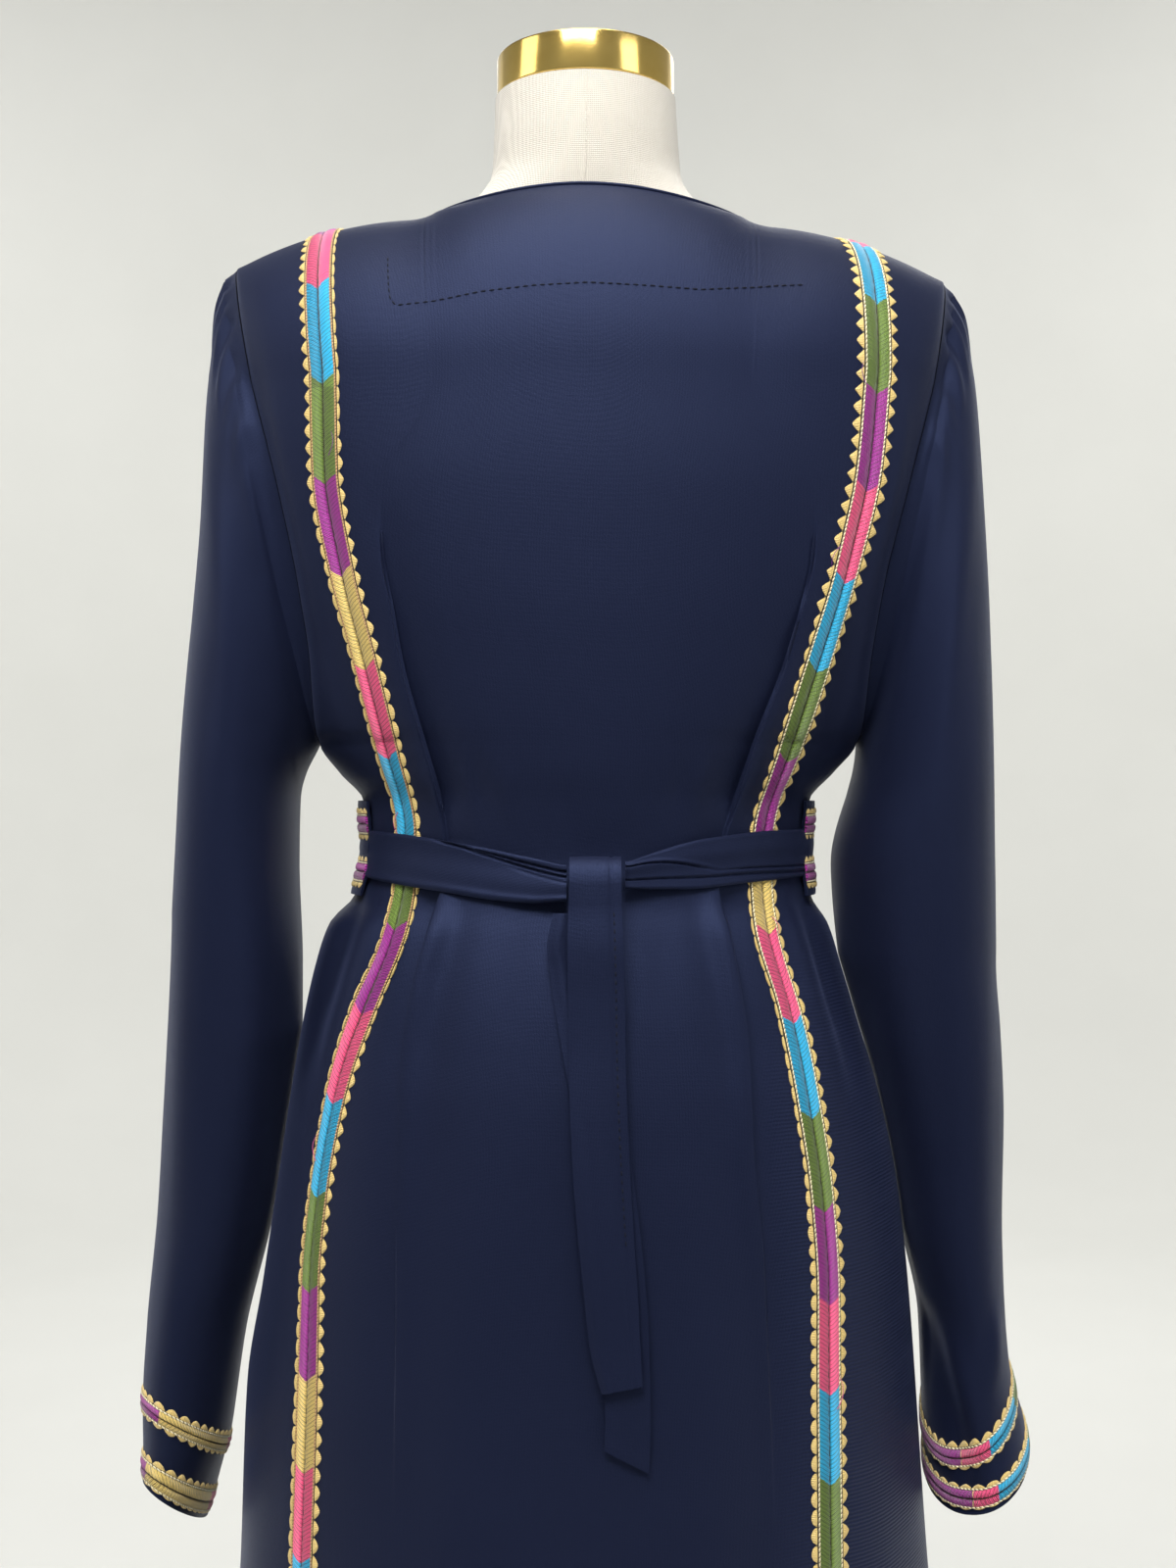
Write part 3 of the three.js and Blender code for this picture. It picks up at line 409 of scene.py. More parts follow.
def relief(folds, x, z):
    """Height of the soft folds at x, z: each one's rise fades towards its ends and falls off to either side."""
    out = np.zeros(np.broadcast(x, z).shape)
    for rise, left, right, line in folds:
        pts = np.array(line, float)
        seg = np.diff(pts, axis=0)
        length = np.linalg.norm(seg, axis=1)
        start = np.concatenate([[0], np.cumsum(length)[:-1]])
        near = (z > pts[:, 1].min() - 60) & (z < pts[:, 1].max() + 60)
        if not near.any():
            continue
        xs, zs = x[near], z[near]
        best = np.full(xs.shape, 1e9)
        along, side = np.zeros(xs.shape), np.zeros(xs.shape)
        for p, d, l, s in zip(pts, seg, length, start):
            t = np.clip(((xs - p[0]) * d[0] + (zs - p[1]) * d[1]) / (l * l), 0, 1)
            dx, dz = xs - p[0] - t * d[0], zs - p[1] - t * d[1]
            r = np.hypot(dx, dz)
            take = r < best
            best = np.where(take, r, best)
            along = np.where(take, (s + t * l) / length.sum(), along)
            side = np.where(take, dx, side)
        width = np.where(side < 0, left, right) * (0.8 + 0.35 * along)
        fade = np.sin(np.pi * np.clip(0.06 + 0.9 * along, 0, 1)) ** 0.8
        out[near] += rise * fade * np.exp(-(best / width) ** 2)
    return out


def flute(angle, z):
    d = np.zeros(np.broadcast(angle, z).shape)
    for at, half, depth, top in FLUTES:
        off = ((angle - at + 540) % 360 - 180) / half
        rise = depth * (np.clip(top - z, 0, None) / (top - HEM_Z)) ** 1.25
        d += np.where(np.abs(off) < 1, rise * np.cos(off * np.pi / 2) ** 2, 0)
    return d


def held(z):
    """Folds are pressed flat under the belt."""
    return 1 - 0.75 * np.exp(-((z - 1046) / 27) ** 4)


def pleat(x, z):
    """The two folded pleats of the back: above the belt the side lies over the middle, below it the middle over the side."""
    d = PLEATS["depth"](z) * 1.15
    up = np.where(z > 1046, 1.0, -1.0)
    free = 1 - np.exp(-((z - 1046) / 27) ** 4)
    out, shift = np.zeros(np.broadcast(x, z).shape), np.zeros(np.broadcast(x, z).shape)
    for side, sign in (("left", -1), ("right", 1)):
        off = (x - PLEATS[side](z)) * sign * up       # towards the upper layer
        step = smooth(off / 1.7 + 0.5)
        low = -d * np.exp(-(off / 15.0) ** 2) * (0.45 + 0.55 * free)
        high = 0.85 * d * np.exp(-((off - 1.0) / 8.0) ** 2) * free
        out += lerp(low, high, step)
        # the upper layer's edge hangs over the lower one a little
        shift += sign * up * 1.25 * np.cos(PI * step) * np.exp(-(off / 3.0) ** 2) * smooth(d / 2.0) * free
    return out, shift


def level_point(face, u, z, folds=True):
    half = np.where(u < 0, BODY["left"](z), BODY["right"](z))
    sign = -1 if face == "back" else 1
    open_ = np.sqrt(np.clip(1 - ((ARM_MID - z) / ARM_HALF) ** 2, 0, 1))
    edge = BODY["side"](z) + np.where(z > ARMPIT_Z, sign * ARM_DEPTH[face] * open_, 0)
    full = np.sqrt(np.clip(1 - np.abs(u) ** BODY[face + "P"](z), 0, 1))
    x, depth = u * half, BODY[face](z)
    y = edge + (depth - edge) * full
    out = np.zeros(x.shape)
    shift = 0
    if folds:
        if face == "back":
            fold, shift = pleat(x, z)
            out = out + fold + 1.25 * held(z) * relief(BACK_FOLDS, x, z)
        else:
            out = out + 1.25 * held(z) * relief(FRONT_FOLDS, x, z)
        out = out * smooth((1 - np.abs(u)) / 0.06)     # the side seams stay where they are
    turn = np.degrees(np.arcsin(np.clip(u, -1, 1)))
    out = out + np.where(z < 800, flute(turn if face == "back" else 180 - turn, z), 0)
    r = np.hypot(x, y)
    nx, ny = x / half ** 2, y / depth ** 2
    n = np.hypot(nx, ny)
    fold_dir = np.where(z < 800, 0, 1)
    dx = np.where(fold_dir == 1, nx / n, x / r)
    dy = np.where(fold_dir == 1, ny / n, y / r)
    blend = smooth((z - 700) / 100)
    dx, dy = lerp(x / r, nx / n, blend), lerp(y / r, ny / n, blend)
    return np.stack([x + out * dx - shift * dy, y + out * dy + shift * dx, z + np.zeros(x.shape)], -1)


def top_point(face, u):
    x = u * SHOULDER_X
    inside = np.abs(x) / NECK_X
    s = np.clip((np.abs(x) - NECK_X) / (SHOULDER_X - NECK_X), 0, 1)
    ny, nz, power = NECKS[face]
    rest = np.clip(1 - inside ** 2, 0, 1)
    y = np.where(inside >= 1, 0, ny * np.sqrt(rest))
    z = np.where(inside >= 1, NECK_Z - (NECK_Z - SHOULDER_Z) * s ** 1.9, lerp(NECK_Z, nz, rest ** power))
    return np.stack([x, y, z - TILT * x], -1)


def shoulder_point(face, u, turn, folds=True):
    b = level_point(face, u, np.full(u.shape, BLADE_Z), folds)
    soft = 0.11 * smooth((1 - turn) / 0.35)       # the neck's corner shows only at the edge itself
    t, end = 0, 0
    steps = np.linspace(-1, 1, 17)
    shares = np.cos(steps * PI / 2.1) ** 2
    for at, share in zip(steps, shares / shares.sum()):
        uu = np.clip(u + at * soft * 1.3, -1, 1)
        t = t + share * top_point(face, uu)
        end = end + share * np.radians(lerp(62, 90, np.clip(np.abs(uu * SHOULDER_X) / NECK_X, 0, 1)))
    t[..., 0] = u * SHOULDER_X
    f = turn * end
    up, back = np.sin(f) / np.sin(end), (np.cos(f) - np.cos(end)) / (1 - np.cos(end))
    return np.stack([lerp(b[..., 0], t[..., 0], up), t[..., 1] + (b[..., 1] - t[..., 1]) * back,
                     lerp(b[..., 2], t[..., 2], up)], -1)


def panel_point(face, u, v, folds=True):
    """Outer surface of a panel: u across, -1 to 1; v up, by height to BLADE_Z and then over the shoulder."""
    u, v = np.broadcast_arrays(np.asarray(u, float), np.asarray(v, float))
    low = level_point(face, u, np.minimum(v, BLADE_Z), folds)
    high = shoulder_point(face, u, np.clip((v - BLADE_Z) / TURN, 0, 1), folds)
    return np.where((v > BLADE_Z)[..., None], high, low)


def panel_normal(face, u, v, folds=True):
    e = 1e-3
    u0, u1 = np.clip(u - e, -0.9995, 0.9995), np.clip(u + e, -0.9995, 0.9995)
    v0, v1 = np.clip(v - 0.5, HEM_Z, BLADE_Z + TURN), np.clip(v + 0.5, HEM_Z, BLADE_Z + TURN)
    du = panel_point(face, u1, v, folds) - panel_point(face, u0, v, folds)
    dv = panel_point(face, u, v1, folds) - panel_point(face, u, v0, folds)
    n = unit(np.cross(du, dv))
    return n if face == "back" else -n


def sleeve_point(side, k, a, folds=True):
    """Outer surface of a sleeve: k is -1 at the armhole and 0 to 16 down the rings, a runs round from the underarm by the back."""
    k, a = np.broadcast_arrays(np.asarray(k, float), np.asarray(a, float))
    s = (1 - np.cos(a)) / 2
    S = SLEEVES[side]
    kk = np.clip(k, 0, 16)
    zi = S["zi"](kk)
    body = np.where(side < 0, BODY["left"](zi), BODY["right"](zi))
    xi = np.maximum(S["xi"](kk), body + 1.2)
    ring = np.stack([side * lerp(xi, S["xo"](kk), s), S["y"](kk) - S["half"](kk) * np.sin(a),
                     lerp(zi, S["zo"](kk), s) - S["dip"](kk) * np.sin(a)], -1)
    # the armhole itself
    ztop = SHOULDER_Z - TILT * side * SHOULDER_X
    z = lerp(ARMPIT_Z, ztop, s)
    zl = np.minimum(z, BLADE_Z)
    half = BODY["left"](zl) if side < 0 else BODY["right"](zl)
    up = np.clip((z - BLADE_Z) / (ztop - BLADE_Z), 0, 1)
    face = np.where(np.sin(a) > 0, ARM_DEPTH["back"], -ARM_DEPTH["front"])
    y = -face * np.sqrt(np.clip(1 - ((ARM_MID - zl) / ARM_HALF) ** 2, 0, 1)) * np.sqrt(1 - up ** 2)
    hole = np.stack([side * (lerp(half, SHOULDER_X, up) + 0.5), y, z], -1)
    t = np.clip(k + 1, 0, 1)
    bulge = np.sin(t * np.pi / 2)[..., None]
    p = np.where((k < 0)[..., None], lerp(hole, ring, bulge), ring)
    if folds:
        x, zz = p[..., 0], p[..., 2]
        out = 1.5 * np.where(np.sin(a) > 0, relief(SLEEVE_FOLDS[(side, "back")], x, zz), relief(SLEEVE_FOLDS[(side, "front")], x, zz))
        out = out * smooth(np.abs(np.sin(a)) / 0.25)
        # the ease of the cap, gathered into the armhole over its upper part
        far = np.clip(k + 1, 0, 3.2)
        crown = smooth((s - 0.5) / 0.35)
        wave = np.sin(a * 31 + 0.9 * np.sin(a * 7)) * 0.75 + np.sin(a * 17 + 1.3) * 0.45
        out = out + crown * wave * np.sin(np.pi * np.clip(far / 2.6, 0, 1)) ** 0.7 * 2.0 * (far < 2.6)
        out = out * smooth((k + 1) / 0.5)
        d = np.stack([side * np.abs(np.cos(a)) * -np.sign(np.cos(a)), -np.sin(a), 0 * a], -1)
        p = p + out[..., None] * unit(d)
        # nothing goes into the skirt beside it
        keep = np.where(p[..., 2] < ARMPIT_Z, (BODY["left"](p[..., 2]) if side < 0 else BODY["right"](p[..., 2]))
                        * np.sqrt(np.clip(1 - (p[..., 1] / BODY["back"](p[..., 2])) ** 2, 0, 1)) + 0.6, 0)
        p[..., 0] = side * np.maximum(side * p[..., 0], keep)
    return p


# ---------------------------------------------------------------- meshes
def grid_normals(P, around=False, toward=None):
    if around:
        du = np.roll(P, -1, 1) - np.roll(P, 1, 1)
    else:
        du = np.gradient(P, axis=1)
    dv = np.gradient(P, axis=0)
    n = unit(np.cross(du, dv))
    if toward is not None:
        flip = (n * toward).sum(-1, keepdims=True) < 0
        n = np.where(flip, -n, n)
    return n


class Mesh:
    """Collects verts in millimetres, faces and per-vertex attributes, and writes one mesh."""

    def __init__(self):
        self.v, self.f, self.m, self.a = [], [], [], []
        self.n = 0

    def add(self, verts, faces, mat=0, attr=None):
        verts = np.asarray(verts, float).reshape(-1, 3)
        self.v.append(verts)
        attr = np.zeros((len(verts), 3)) if attr is None else np.asarray(attr, float).reshape(-1, 3)
        self.a.append(attr)
        for f in faces:     # arrays of same-length faces
            f = np.asarray(f)
            if len(f):
                self.f.append(f + self.n)
                self.m.append(np.full(len(f), mat))
        self.n += len(verts)

    def build(self, name, mats, angle=50, outward=True):
        V = np.concatenate(self.v) * MM
        me = bpy.data.meshes.new(name)
        me.vertices.add(len(V))
        me.vertices.foreach_set("co", V.astype(np.float32).ravel())
        loops = np.concatenate([f.ravel() for f in self.f])
        sizes = np.concatenate([np.full(len(f), f.shape[1]) for f in self.f])
        starts = np.concatenate([[0], np.cumsum(sizes)[:-1]])
        me.loops.add(len(loops))
        me.loops.foreach_set("vertex_index", loops.astype(np.int32))
        me.polygons.add(len(sizes))
        me.polygons.foreach_set("loop_start", starts.astype(np.int32))
        me.polygons.foreach_set("material_index", np.concatenate(self.m).astype(np.int32))
        me.polygons.foreach_set("use_smooth", np.ones(len(sizes), bool))
        me.update(calc_edges=True)
        me.validate()
        at = me.attributes.new("lay", "FLOAT_VECTOR", "POINT")
        at.data.foreach_set("vector", np.concatenate(self.a).astype(np.float32).ravel())
        if angle:
            me.set_sharp_from_angle(angle=math.radians(angle))
        for m in mats:
            me.materials.append(m)
        o = bpy.data.objects.new(name, me)
        bpy.context.scene.collection.objects.link(o)
        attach(o, "root")
        return o


def quads(R, C, around=False, offset=0):
    r, c = np.meshgrid(np.arange(R - 1), np.arange(C if around else C - 1), indexing="ij")
    c1 = (c + 1) % C
    return np.stack([r * C + c, r * C + c1, (r + 1) * C + c1, (r + 1) * C + c], -1).reshape(-1, 4) + offset


def shell(mesh, P, N, wall, around=False, mat=0, lay=None, coarse=True, flip=None):
    """A closed thin shell: P is its fine outer side, and its inner side has every second row and column."""
    R, C = P.shape[:2]
    step = 2 if coarse else 1
    rr = list(range(0, R, step))
    cc = list(range(0, C, step))
    if rr[-1] != R - 1 or (not around and cc[-1] != C - 1):
        raise ValueError("a shell needs an odd number of rows and columns")
    inner = (P - N * wall)[np.ix_(rr, cc)]
    RI, CI = inner.shape[:2]
    if flip is None:
        a = np.cross(P[R // 2, 1] - P[R // 2, 0], P[R // 2 + 1, 0] - P[R // 2, 0])
        flip = (a * N[R // 2, 0]).sum() < 0
    base = R * C
    outer_f = quads(R, C, around)
    inner_f = quads(RI, CI, around, base)[:, ::-1]
    rims = {3: [], 4: [], 5: []}

    def rim(o_ids, i_ids, turn):
        n = len(i_ids) - 1
        for j in range(n):
            o = o_ids[j * step:j * step + step + 1]
            f = list(o) + [i_ids[j + 1], i_ids[j]]
            if turn:
                f = f[::-1]
            rims[len(f)].append(f)

    loop_o = list(range(C)) + ([0] if around else [])
    loop_i = list(range(CI)) + ([0] if around else [])
    rim([c for c in loop_o], [base + c for c in loop_i], True)
    rim([(R - 1) * C + c for c in loop_o], [base + (RI - 1) * CI + c for c in loop_i], False)
    if not around:
        rim([r * C for r in range(R)], [base + r * CI for r in range(RI)], False)
        rim([r * C + C - 1 for r in range(R)], [base + r * CI + CI - 1 for r in range(RI)], True)
    faces = [outer_f, inner_f] + [np.array(f) for f in rims.values() if f]
    if flip:
        faces = [f[:, ::-1] for f in faces]
    if lay is None:
        lay = np.zeros((R, C, 3))
    verts = np.concatenate([P.reshape(-1, 3), inner.reshape(-1, 3)])
    lays = np.concatenate([lay.reshape(-1, 3), lay[np.ix_(rr, cc)].reshape(-1, 3)])
    mesh.add(verts, faces, mat, lays)


def cloth_lay(P, around=False):
    """Each point's place in the flat cloth, in millimetres across and along."""
    across = np.linalg.norm(np.diff(P, axis=1), axis=-1)
    across = np.concatenate([np.zeros((P.shape[0], 1)), np.cumsum(across, 1)], 1)
    across -= across[:, P.shape[1] // 2][:, None]
    along = np.linalg.norm(np.diff(P, axis=0), axis=-1)
    along = np.concatenate([np.zeros((1, P.shape[1])), np.cumsum(along, 0)], 0)
    return np.stack([across, along, np.zeros(across.shape)], -1)


def tube(mesh, line, radius, sides=6, mat=0, lay=None, up=None, flat=1.0, closed=False):
    """A closed tube along a line of points; flat squashes it along up."""
    line = np.asarray(line, float)
    n = len(line)
    T = unit(np.gradient(line, axis=0)) if not closed else unit(np.roll(line, -1, 0) - np.roll(line, 1, 0))
    U = np.tile([0.0, -1.0, 0.0], (n, 1)) if up is None else np.asarray(up, float)
    W = unit(np.cross(T, U))
    U = unit(np.cross(W, T))
    a = np.arange(sides) * 2 * math.pi / sides
    rad = np.broadcast_to(np.asarray(radius, float), (n,))[:, None, None]
    ring = line[:, None] + rad * (np.cos(a)[None, :, None] * W[:, None] + np.sin(a)[None, :, None] * U[:, None] * flat)
    q = quads(n, sides, True)
    if closed:
        i = np.arange(sides)
        q = np.concatenate([q, np.stack([(n - 1) * sides + i, (n - 1) * sides + (i + 1) % sides, (i + 1) % sides, i], -1)])
        ends = []
    else:
        ends = [np.arange(sides)[::-1][None], ((n - 1) * sides + np.arange(sides))[None]]
    faces = [q] + ends
    vol = np.cross(ring[0, 1] - ring[0, 0], ring[1, 0] - ring[0, 0]) @ (ring[0, 0] - line[0])
    if vol < 0:
        faces = [f[:, ::-1] for f in faces]
    if lay is not None:
        lay = np.broadcast_to(np.asarray(lay, float)[:, None], (n, sides, 3)).copy()
        lay[..., 0] += np.arange(sides) / sides
    mesh.add(ring, faces, mat, lay)


# ---------------------------------------------------------------- materials
class Nodes:
    """Short ways to make and join shader nodes."""

    def __init__(self, name):
        self.mat = bpy.data.materials.new(name)
        self.mat.use_nodes = True
        self.t = self.mat.node_tree
        self.bsdf = self.t.nodes["Principled BSDF"]

    def new(self, kind, **props):
        n = self.t.nodes.new(kind)
        for k, v in props.items():
            setattr(n, k, v)
        return n

    def put(self, socket, value):
        if isinstance(value, (int, float, tuple)):
            socket.default_value = value
        else:
            self.t.links.new(value, socket)

    def math(self, op, a, b=None, c=None, clamp=False):
        n = self.new("ShaderNodeMath", operation=op, use_clamp=clamp)
        self.put(n.inputs[0], a)
        if b is not None:
            self.put(n.inputs[1], b)
        if c is not None:
            self.put(n.inputs[2], c)
        return n.outputs[0]

    def mix(self, f, a, b, kind="MIX"):
        n = self.new("ShaderNodeMix", data_type="RGBA", blend_type=kind)
        self.put(n.inputs["Factor"], f)
        for s, v in ((n.inputs[6], a), (n.inputs[7], b)):
            self.put(s, (*v, 1) if isinstance(v, tuple) and len(v) == 3 else v)
        return n.outputs[2]

    def lay(self):
        n = self.new("ShaderNodeAttribute", attribute_name="lay")
        s = self.new("ShaderNodeSeparateXYZ")
        self.t.links.new(n.outputs["Vector"], s.inputs[0])
        return n.outputs["Vector"], s.outputs[0], s.outputs[1], s.outputs[2]

    def place(self):
        return self.new("ShaderNodeTexCoord").outputs["Object"]

    def noise(self, where, scale, detail=2.0, rough=0.5):
        n = self.new("ShaderNodeTexNoise")
        self.put(n.inputs["Vector"], where)
        n.inputs["Scale"].default_value = scale
        n.inputs["Detail"].default_value = detail
        n.inputs["Roughness"].default_value = rough
        return n.outputs["Fac"]

    def ramp(self, f, stops, how="LINEAR"):
        n = self.new("ShaderNodeValToRGB")
        n.color_ramp.interpolation = how
        e = n.color_ramp.elements
        while len(e) < len(stops):
            e.new(1.0)
        for el, (at, col) in zip(e, stops):
            el.position = at
            el.color = (*col, 1) if len(col) == 3 else col
        self.put(n.inputs["Fac"], f)
        return n.outputs["Color"]

    def bump(self, height, strength, distance, normal=None):
        n = self.new("ShaderNodeBump")
        n.inputs["Strength"].default_value = strength
        n.inputs["Distance"].default_value = distance
        self.put(n.inputs["Height"], height)
        if normal is not None:
            self.t.links.new(normal, n.inputs["Normal"])
        return n.outputs["Normal"]

    def set(self, **values):
        names = {"color": "Base Color", "rough": "Roughness", "metal": "Metallic", "normal": "Normal",
                 "sheen": "Sheen Weight", "sheen_rough": "Sheen Roughness", "sheen_tint": "Sheen Tint",
                 "spec": "Specular IOR Level", "spec_tint": "Specular Tint", "aniso": "Anisotropic", "coat": "Coat Weight", "coat_rough": "Coat Roughness"}
        for k, v in values.items():
            s = self.bsdf.inputs[names[k]]
            if isinstance(v, tuple) and len(v) == 3 and s.type == "RGBA":
                v = (*v, 1)
            self.put(s, v)
        return self.mat


def srgb(r, g, b):
    return tuple(c / 12.92 if c <= 0.04045 else ((c + 0.055) / 1.055) ** 2.4 for c in (r / 255, g / 255, b / 255))


def crepe(name, dark, light, ribs=0.0):
    """Matt navy crepe: a fine pebbly weave with threads both ways, a little uneven in tone, with a soft nap sheen."""
    n = Nodes(name)
    vec, x, y, _ = n.lay()
    place = n.place()
    broad = n.noise(place, 9.0, 3.0)
    fine = n.noise(place, 1500.0, 2.0, 0.6)
    slub = n.noise(place, 260.0, 3.0)
    threads = n.math("SINE", n.math("MULTIPLY", n.math("ADD", x, n.math("MULTIPLY", slub, 0.5)), 2 * math.pi / 0.75))
    across = n.math("SINE", n.math("MULTIPLY", n.math("ADD", y, n.math("MULTIPLY", slub, 0.5)), 2 * math.pi / 0.62))
    weave = n.math("ADD", n.math("MULTIPLY", threads, 0.22), n.math("MULTIPLY", across, 0.26))
    weave = n.math("ADD", weave, n.math("MULTIPLY", fine, 1.5))
    col = n.mix(broad, dark, light)
    col = n.mix(n.math("MULTIPLY", n.math("SUBTRACT", fine, 0.25), 0.55, clamp=True), col, tuple(min(1, c * 1.9) for c in light))
    height = weave
    if ribs:
        # the ribbed look of the cloth on the wearer's right side of the skirt: ribs in the bump, and a painted sheen
        # that lightens each rib's crest
        px = n.new("ShaderNodeSeparateXYZ")
        n.t.links.new(place, px.inputs[0])
        where = n.math("MULTIPLY", n.math("SUBTRACT", px.outputs[0], 0.085), 28.0, clamp=True)
        below = n.math("MULTIPLY", n.math("SUBTRACT", 1.03, px.outputs[2]), 12.0, clamp=True)
        mask = n.math("MULTIPLY", where, below)
        rib = n.math("SINE", n.math("MULTIPLY", n.math("ADD", y, n.math("MULTIPLY", slub, 0.6)), 2 * math.pi / 1.9))
        height = n.math("ADD", weave, n.math("MULTIPLY", n.math("MULTIPLY", rib, mask), ribs))
        # painted sheen: the colour is lighter along each rib's crest
        col = n.mix(n.math("MULTIPLY", n.math("MULTIPLY", n.math("ADD", rib, 1.0), mask), 0.30), col, tuple(min(1, c * 2.1) for c in light))
    normal = n.bump(height, 0.35, 0.00022)
    rough = n.math("ADD", 0.40, n.math("MULTIPLY", fine, 0.14))
    return n.set(color=col, rough=rough, normal=normal, sheen=0.07, sheen_rough=0.45, sheen_tint=(0.40, 0.50, 1.0), spec=0.27,
                 spec_tint=(0.34, 0.46, 1.0))


NAVY_D, NAVY_L = (0.0032, 0.0042, 0.0120), (0.0051, 0.0068, 0.0186)
navy = crepe("crepe_navy", NAVY_D, NAVY_L, ribs=2.0)
navy_sleeve = crepe("crepe_navy_sleeve", NAVY_D, NAVY_L)
navy_belt = crepe("crepe_navy_belt", NAVY_D, NAVY_L)

PINK, CYAN, GREEN = srgb(230, 82, 128), srgb(30, 164, 208), srgb(98, 122, 46)
VIOLET, GOLD = srgb(148, 34, 134), srgb(216, 188, 108)
CYCLE = [PINK, CYAN, GREEN, VIOLET, GOLD, PINK, CYAN, GREEN, VIOLET]


def satin(name, stops, period, junction=0.10, lit=1, turns=None):
    """Padded satin stitch: slanted threads in two halves, changing colour by the segment with a V at each change."""
    n = Nodes(name)
    vec, t, s, seg = n.lay()            # t across in mm, s along in mm, seg in segments
    side = n.math("ABSOLUTE", t)
    lean = n.math("MULTIPLY", n.math("SUBTRACT", 1.0, n.math("DIVIDE", side, 6.2)), junction)
    place = n.place()
    jag = n.math("MULTIPLY", n.math("SUBTRACT", n.noise(place, 700.0, 1.0), 0.5), 0.03)
    here = n.math("ADD", n.math("SUBTRACT", seg, lean), jag)
    share = n.math("DIVIDE", n.math("WRAP", here, float(period), 0.0), float(period))
    col = n.ramp(share, [(i / period, c) for i, c in enumerate(stops)], "CONSTANT")
    wob = n.math("MULTIPLY", n.noise(place, 420.0, 2.0), 0.9)
    slant = n.math("ADD", n.math("SUBTRACT", s, n.math("MULTIPLY", side, 0.66)), wob)
    thread = n.math("SINE", n.math("MULTIPLY", slant, 2 * math.pi / 0.92))
    fibre = n.noise(place, 2600.0, 2.0)
    light = n.math("ADD", 0.88, n.math("MULTIPLY", thread, 0.22))
    light = n.math("ADD", light, n.math("MULTIPLY", fibre, 0.42))
    # painted shade: dark slivers between bundles of threads
    bundle = n.math("SINE", n.math("MULTIPLY", n.math("ADD", slant, n.math("MULTIPLY", n.noise(place, 160.0, 2.0), 1.6)), 2 * math.pi / 2.1))
    gap = n.math("MULTIPLY", n.math("SUBTRACT", bundle, 0.62), 2.4, clamp=True)
    light = n.math("MULTIPLY", light, n.math("SUBTRACT", 1.0, n.math("MULTIPLY", gap, 0.72)))
    # painted light: the two halves lie opposite ways, so one half is painted brighter and the other darker
    half = n.math("MULTIPLY", n.math("SUBTRACT", n.math("MULTIPLY", n.math("GREATER_THAN", t, 0.0), 2.0), 1.0), float(lit))
    if turns is not None:
        flip = n.math("SUBTRACT", n.math("MULTIPLY", n.math("GREATER_THAN", s, float(turns)), 2.0), 1.0)
        half = n.math("MULTIPLY", half, flip)
    light = n.math("MULTIPLY", light, n.math("ADD", 1.02, n.math("MULTIPLY", half, 0.22)))
    # painted shade: the satin darkens towards the groove down the band's middle
    groove = n.math("SUBTRACT", 1.0, n.math("MULTIPLY", side, 1.15, clamp=True))
    light = n.math("MULTIPLY", light, n.math("SUBTRACT", 1.0, n.math("MULTIPLY", groove, 0.6)))
    c = n.new("ShaderNodeVectorMath", operation="SCALE")
    n.t.links.new(col, c.inputs[0])
    n.t.links.new(light, c.inputs["Scale"])
    height = n.math("ADD", thread, n.math("MULTIPLY", fibre, 0.5))
    rough = n.math("ADD", 0.34, n.math("MULTIPLY", fibre, 0.2))
    return n.set(color=c.outputs[0], rough=rough, normal=n.bump(height, 0.8, 0.00040), sheen=0.25, sheen_rough=0.35, spec=0.5)


def thread_gold(name, base, dark, pitch=0.8):
    n = Nodes(name)
    vec, t, s, _ = n.lay()
    place = n.place()
    thread = n.math("SINE", n.math("MULTIPLY", n.math("ADD", s, n.math("MULTIPLY", n.noise(place, 500.0), 0.8)), 2 * math.pi / pitch))
    fibre = n.noise(place, 2200.0, 2.0)
    col = n.mix(n.math("ADD", n.math("MULTIPLY", thread, 0.16), n.math("MULTIPLY", fibre, 0.6), clamp=True), base, dark)
    return n.set(color=col, rough=0.42, normal=n.bump(n.math("ADD", thread, fibre), 0.6, 0.0004), sheen=0.2, spec=0.5)


def cord_light(name, light, dark, pitch=2.4):
    """A thin twisted cord: pale, with painted shade in the gaps between its turns."""
    n = Nodes(name)
    vec, t, s, _ = n.lay()
    wave = n.math("SINE", n.math("MULTIPLY", n.math("ADD", s, n.math("MULTIPLY", t, pitch)), 2 * math.pi / pitch))
    # painted shade: the gaps between the turns are painted dark
    gap = n.math("MULTIPLY", n.math("SUBTRACT", -0.55, wave), 3.2, clamp=True)
    return n.set(color=n.mix(gap, light, dark), rough=0.45, normal=n.bump(wave, 0.7, 0.0004), sheen=0.2, spec=0.45)


def plain_thread(name, base, rough=0.5, gloss=1.0):
    n = Nodes(name)
    place = n.place()
    fibre = n.noise(place, 2400.0, 2.0)
    return n.set(color=n.mix(fibre, tuple(c * 0.7 for c in base), tuple(min(1, c * 1.25) for c in base)), rough=rough,
                 normal=n.bump(fibre, 0.5, 0.0003), sheen=0.2 * gloss, spec=0.4 * gloss)


satin_left = satin("satin_left", CYCLE, 9, lit=1, turns=1235)
satin_right = satin("satin_right", CYCLE, 9, lit=1)
gold_teeth = thread_gold("gold_teeth", srgb(232, 204, 128), srgb(178, 144, 74))
brown_cord = cord_light("brown_cord", srgb(196, 156, 104), srgb(110, 74, 44), 1.7)
gold_base = thread_gold("gold_ground", srgb(206, 170, 104), srgb(150, 112, 56), 0.7)
pale_cord = cord_light("pale_cord", srgb(238, 226, 186), srgb(96, 74, 40))
dark_line = plain_thread("dark_outline", srgb(52, 44, 30), 0.6)
loose_pink = plain_thread("loose_pink", srgb(206, 96, 140))
loose_violet = plain_thread("loose_violet", srgb(120, 40, 130))


